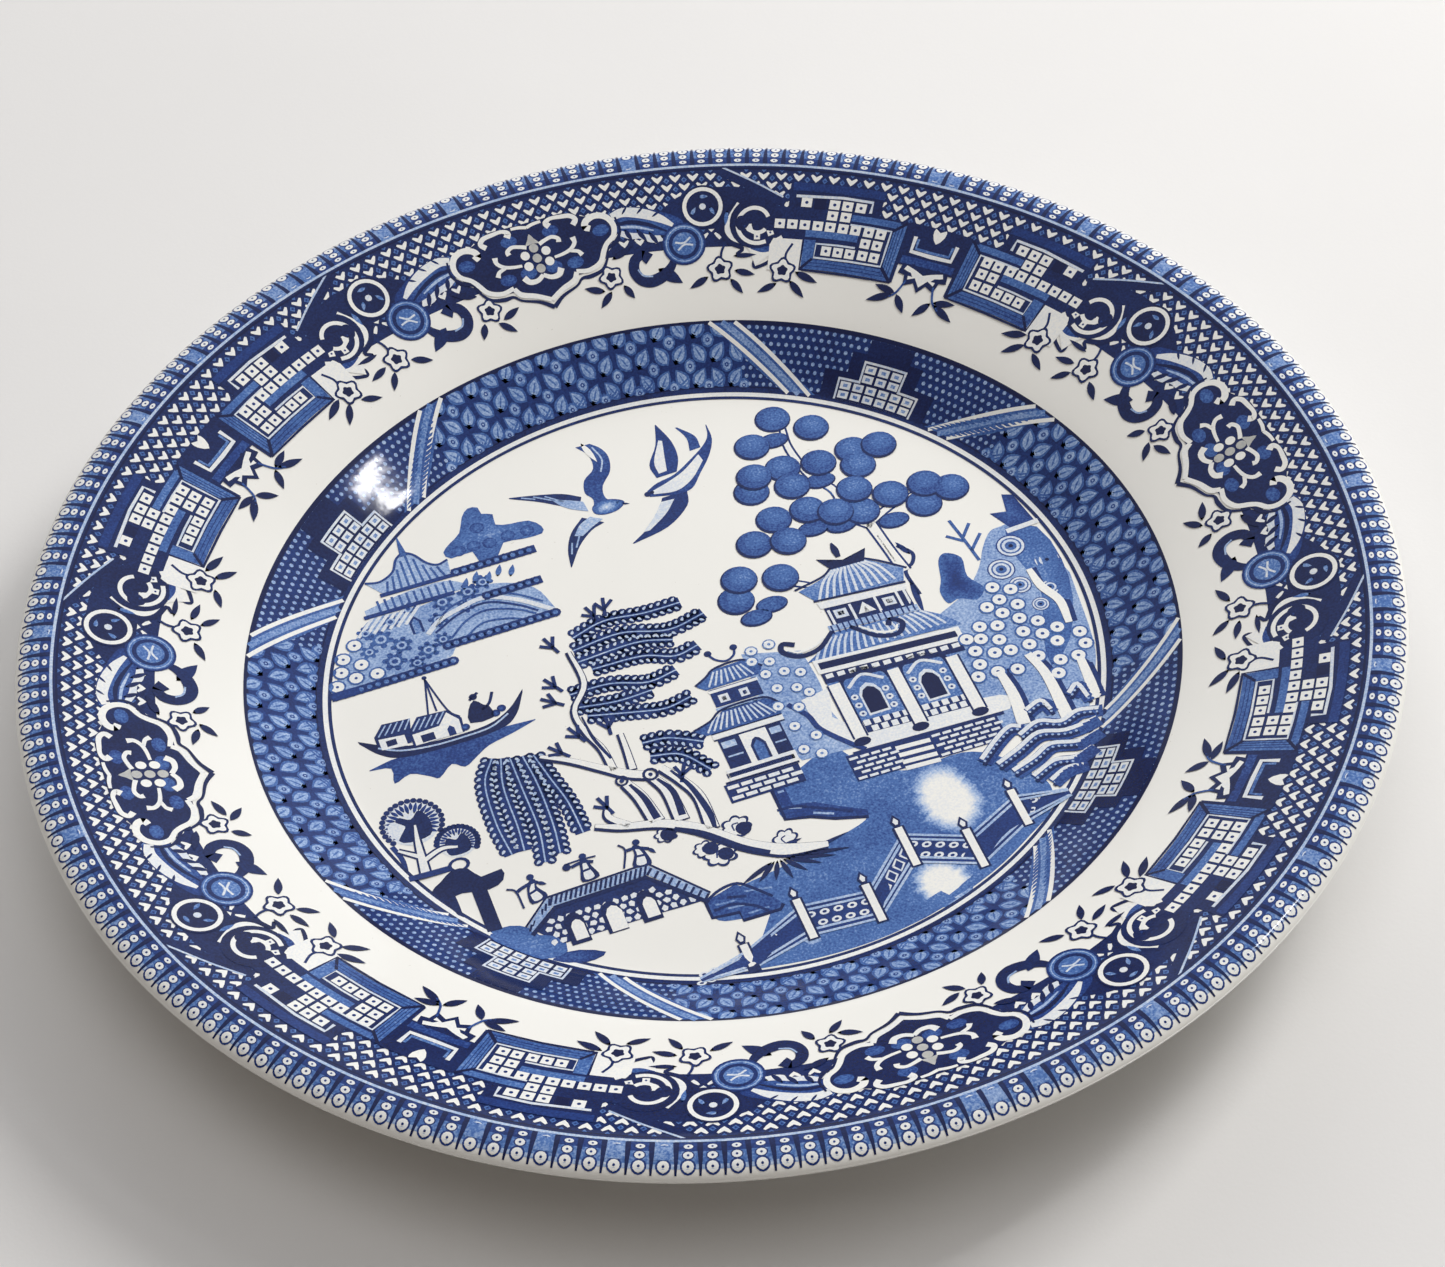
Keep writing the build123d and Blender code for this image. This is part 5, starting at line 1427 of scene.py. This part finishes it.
# Bridge. A hump of mortared stones on three arches carries a hatched parapet,
# and three tiny robed figures cross it.
bridge_wall = ruled(
    [(-51, -48.4), (-47.5, -45.2), (-43, -44.2), (-38.4, -44.2), (-33.4, -44.2), (-28.5, -44.6), (-24, -49),
     (-20, -53)],
    [(-47.6, -53), (-47.5, -53), (-43, -53), (-38.4, -53), (-33.4, -53), (-28.5, -53), (-24, -53.2),
     (-20.5, -53.2)], 0.9, steps=1, across=4)
stone_dice = np.random.default_rng(11)
stone = patch([(-0.8, -0.45), (-0.5, 0.6), (0.45, 0.7), (0.85, 0.1), (0.4, -0.65)], 0.07, steps=1)
stone_x, stone_y = np.meshgrid(np.arange(-48.6, -20.4, 1.75), np.arange(-52.2, -44.2, 1.6))
stone_x = stone_x + 0.87 * (np.round((stone_y + 52.2) / 1.6) % 2)
stone_places = np.stack([stone_x.ravel(), stone_y.ravel()], axis=-1)
deck_line = np.interp(stone_places[:, 0], (-51, -47.5, -28.5, -20), (-49.4, -46.2, -45.4, -53.4))
stone_places = stone_places[stone_places[:, 1] < deck_line - 0.4]
stones = stone.at(stone_places, stone_dice.uniform(0, 360, len(stone_places)), 0.86)
arch_shape = [(-1.5, -3), (-1.5, 1.2), (-0.9, 2.4), (0, 2.9), (0.9, 2.4), (1.5, 1.2), (1.5, -3)]
arch_places = [(-43.9, -50.4), (-36.9, -50.4), (-30.3, -50.4)]
arches = patch(arch_shape, 0.95, steps=1).at(arch_places, 0, 1.25) \
    | patch(arch_shape, 0.02, steps=1).at([(x + 0.35, y - 0.5) for x, y in arch_places], 0, [0.8, 1.0, 0.8])
parapet_walls = ruled([(-52, -47), (-47, -42.2), (-27.6, -41.6), (-19, -52)],
                      [(-51.6, -48.6), (-46.4, -44.2), (-28.2, -43.8), (-20.4, -53)], 0.3, steps=1)
parapet_hatch = strokes([[(x, -43.9), (x + 1.0, -41.8)] for x in np.arange(-46.8, -28.6, 0.95)], 0.45, 0.95,
                        steps=1)
parapet_hatch = parapet_hatch + strokes([[(-52 + k * 1.0, -48.2 + k * 0.86),
                                          (-51.2 + k * 0.95, -46.8 + k * 0.9)] for k in range(6)], 0.45, 0.95,
                                          steps=1)
parapet_hatch = parapet_hatch + strokes([[(-28.2 + k * 0.98, -43.9 - k * 1.18),
                                          (-27.0 + k * 0.98, -42.6 - k * 1.18)] for k in range(9)], 0.5, 0.95,
                                          steps=1)
parapet_edges = lines([(-52.4, -47), (-47, -41.9), (-27.4, -41.3), (-18.8, -52)], 0.45, 0.95) \
    + lines([(-51.8, -49.2), (-46.2, -44.7), (-28.6, -44.3), (-19.8, -54)], 0.9, 0.95)


def traveller(lean, load):
    """A tiny robed walker: gown, head, and a stick or bundle held to one side."""
    gown = patch([(-1.5, -3.4), (-1.0, -0.6), (-0.5 + lean, 1.5), (0.8 + lean, 1.4), (1.2, -0.4),
                  (1.9, -3.2)], 0.92, steps=3)
    robe = patch([(-0.8, -3.0), (-0.5, -0.6), (-0.1 + lean, 0.9), (0.4 + lean, 0.9), (0.6, -0.6),
                  (1.0, -2.9)], 0.06, steps=3)
    head = disc(0.72, 0.88, sides=10).at([(0.3 + lean, 2.3)])
    sash = stroke([(-0.9, -1.1), (0.9, -0.9)], 0.5, 0.9) \
        + stroke([(-2.4, 0.6), (-1.2, 0.9), (0.2 + lean, 1.0), (1.8, 0.4)], 0.7, 0.9)
    return gown | robe + head | sash + load


bundle = stroke([(-3.4, 1.6), (-0.6, 1.7), (2.6, 1.5)], 0.35, 0.9) + disc(0.8, 0.92).at([(-3.2, 0.9)])
staff = stroke([(-3.2, -3.4), (-2.6, 0.8), (-3.8, 2.2)], 0.4, 0.9) + leaf((1.6, 0.6), (3.0, -0.8), 0.8, 0.9)
walkers = traveller(0.9, staff).at([(-49.0, -38.8)], 12) + traveller(0.0, bundle).at([(-38.2, -37.6)]) \
    + traveller(-0.7, staff).at([(-27.8, -38.2)], -12)
left_bank = patch([
    (-59, -46), (-55, -45.6), (-52, -47.2), (-50.6, -49.6), (-47.4, -51.2), (-47, -55), (-52, -55.4),
    (-58, -49.6)], 0.62, 0.5, steps=2) \
    + patch([(-49, -55.2), (-45, -55.4), (-40.6, -57.6), (-43, -58.6), (-47, -58.2), (-50.4, -56.2)], 0.8,
            0.66, steps=2)
landscape(
    "bridge", 3, bridge_wall + left_bank, stones + parapet_walls, parapet_hatch, parapet_edges + arches,
    walkers)


# Fence. A zigzag fence crosses the foreground: white posts with pointed
# finials, and panels of hatching, ovals and diagonals between two rails.
post_feet = [(-17.3, -72, -66), (-5, -69, -60), (7.8, -70, -61.5), (18.2, -60.5, -51.5), (29.5, -65.5, -56.5),
             (40.7, -59.5, -51)]
panel_backs, panel_rails, panel_fill, panel_dots = [], [], [], []
fence_ends = [(-27, -71.6, -69)] + post_feet + [(50.5, -57.0, -53.5)]
for number, (start, end) in enumerate(zip(fence_ends[:-1], fence_ends[1:])):
    (x0, low0, high0), (x1, low1, high1) = start, end
    low0, low1, high0, high1 = low0 + 0.8, low1 + 0.8, high0 - 0.8, high1 - 0.8
    panel_backs.append(ruled([(x0, low0), (x0, high0)], [(x1, low1), (x1, high1)], 0.82, steps=1, across=3))
    for share in (0.04, 0.2, 0.82, 0.97):
        ends = [(x, low + (high - low) * share) for x, low, high in ((x0, low0, high0), (x1, low1, high1))]
        panel_rails.append(lines(ends, 0.5, 0.25))
    for share_x in np.linspace(0.1, 0.9, 5):
        x = x0 + (x1 - x0) * share_x
        low, high = low0 + (low1 - low0) * share_x, high0 + (high1 - high0) * share_x
        middle = (low + high) / 2
        if number % 2 == 1:
            panel_fill.append(lines([(x - 1.1, middle), (x, middle + 1.4), (x + 1.1, middle),
                                     (x, middle - 1.4), (x - 1.1, middle)], 0.45, 0.1))
        else:
            panel_fill.append(disc(0.95, 0.08, sides=10, flat=0.72).at([(x, middle + 1.1),
                (x - 1.1, middle - 1.0)]))
            panel_dots.append(disc(0.42, 0.85, sides=8, flat=0.72).at([(x, middle + 1.1),
                (x - 1.1, middle - 1.0)]))
post_sides = together([block(x - 1.15, x + 1.15, low, high + 0.9, 0.95) for x, low, high in post_feet])
post_faces = together([block(x - 0.72, x + 0.72, low + 0.3, high + 0.7, 0.02) for x, low, high in post_feet])
finial = patch([(0, 2.6), (1.0, 0.9), (0.5, -0.4), (-0.5, -0.4), (-1.0, 0.9)], 0.93, steps=1) \
    | patch([(0, 1.8), (0.55, 0.9), (0.25, 0.1), (-0.25, 0.1), (-0.55, 0.9)], 0.05, steps=1)
finials = finial.at([(x, high + 1.3) for x, low, high in post_feet])
landscape(
    "fence", 8, together(panel_backs), together(panel_rails) + together(panel_fill), together(panel_dots),
    post_sides, post_faces + finials)
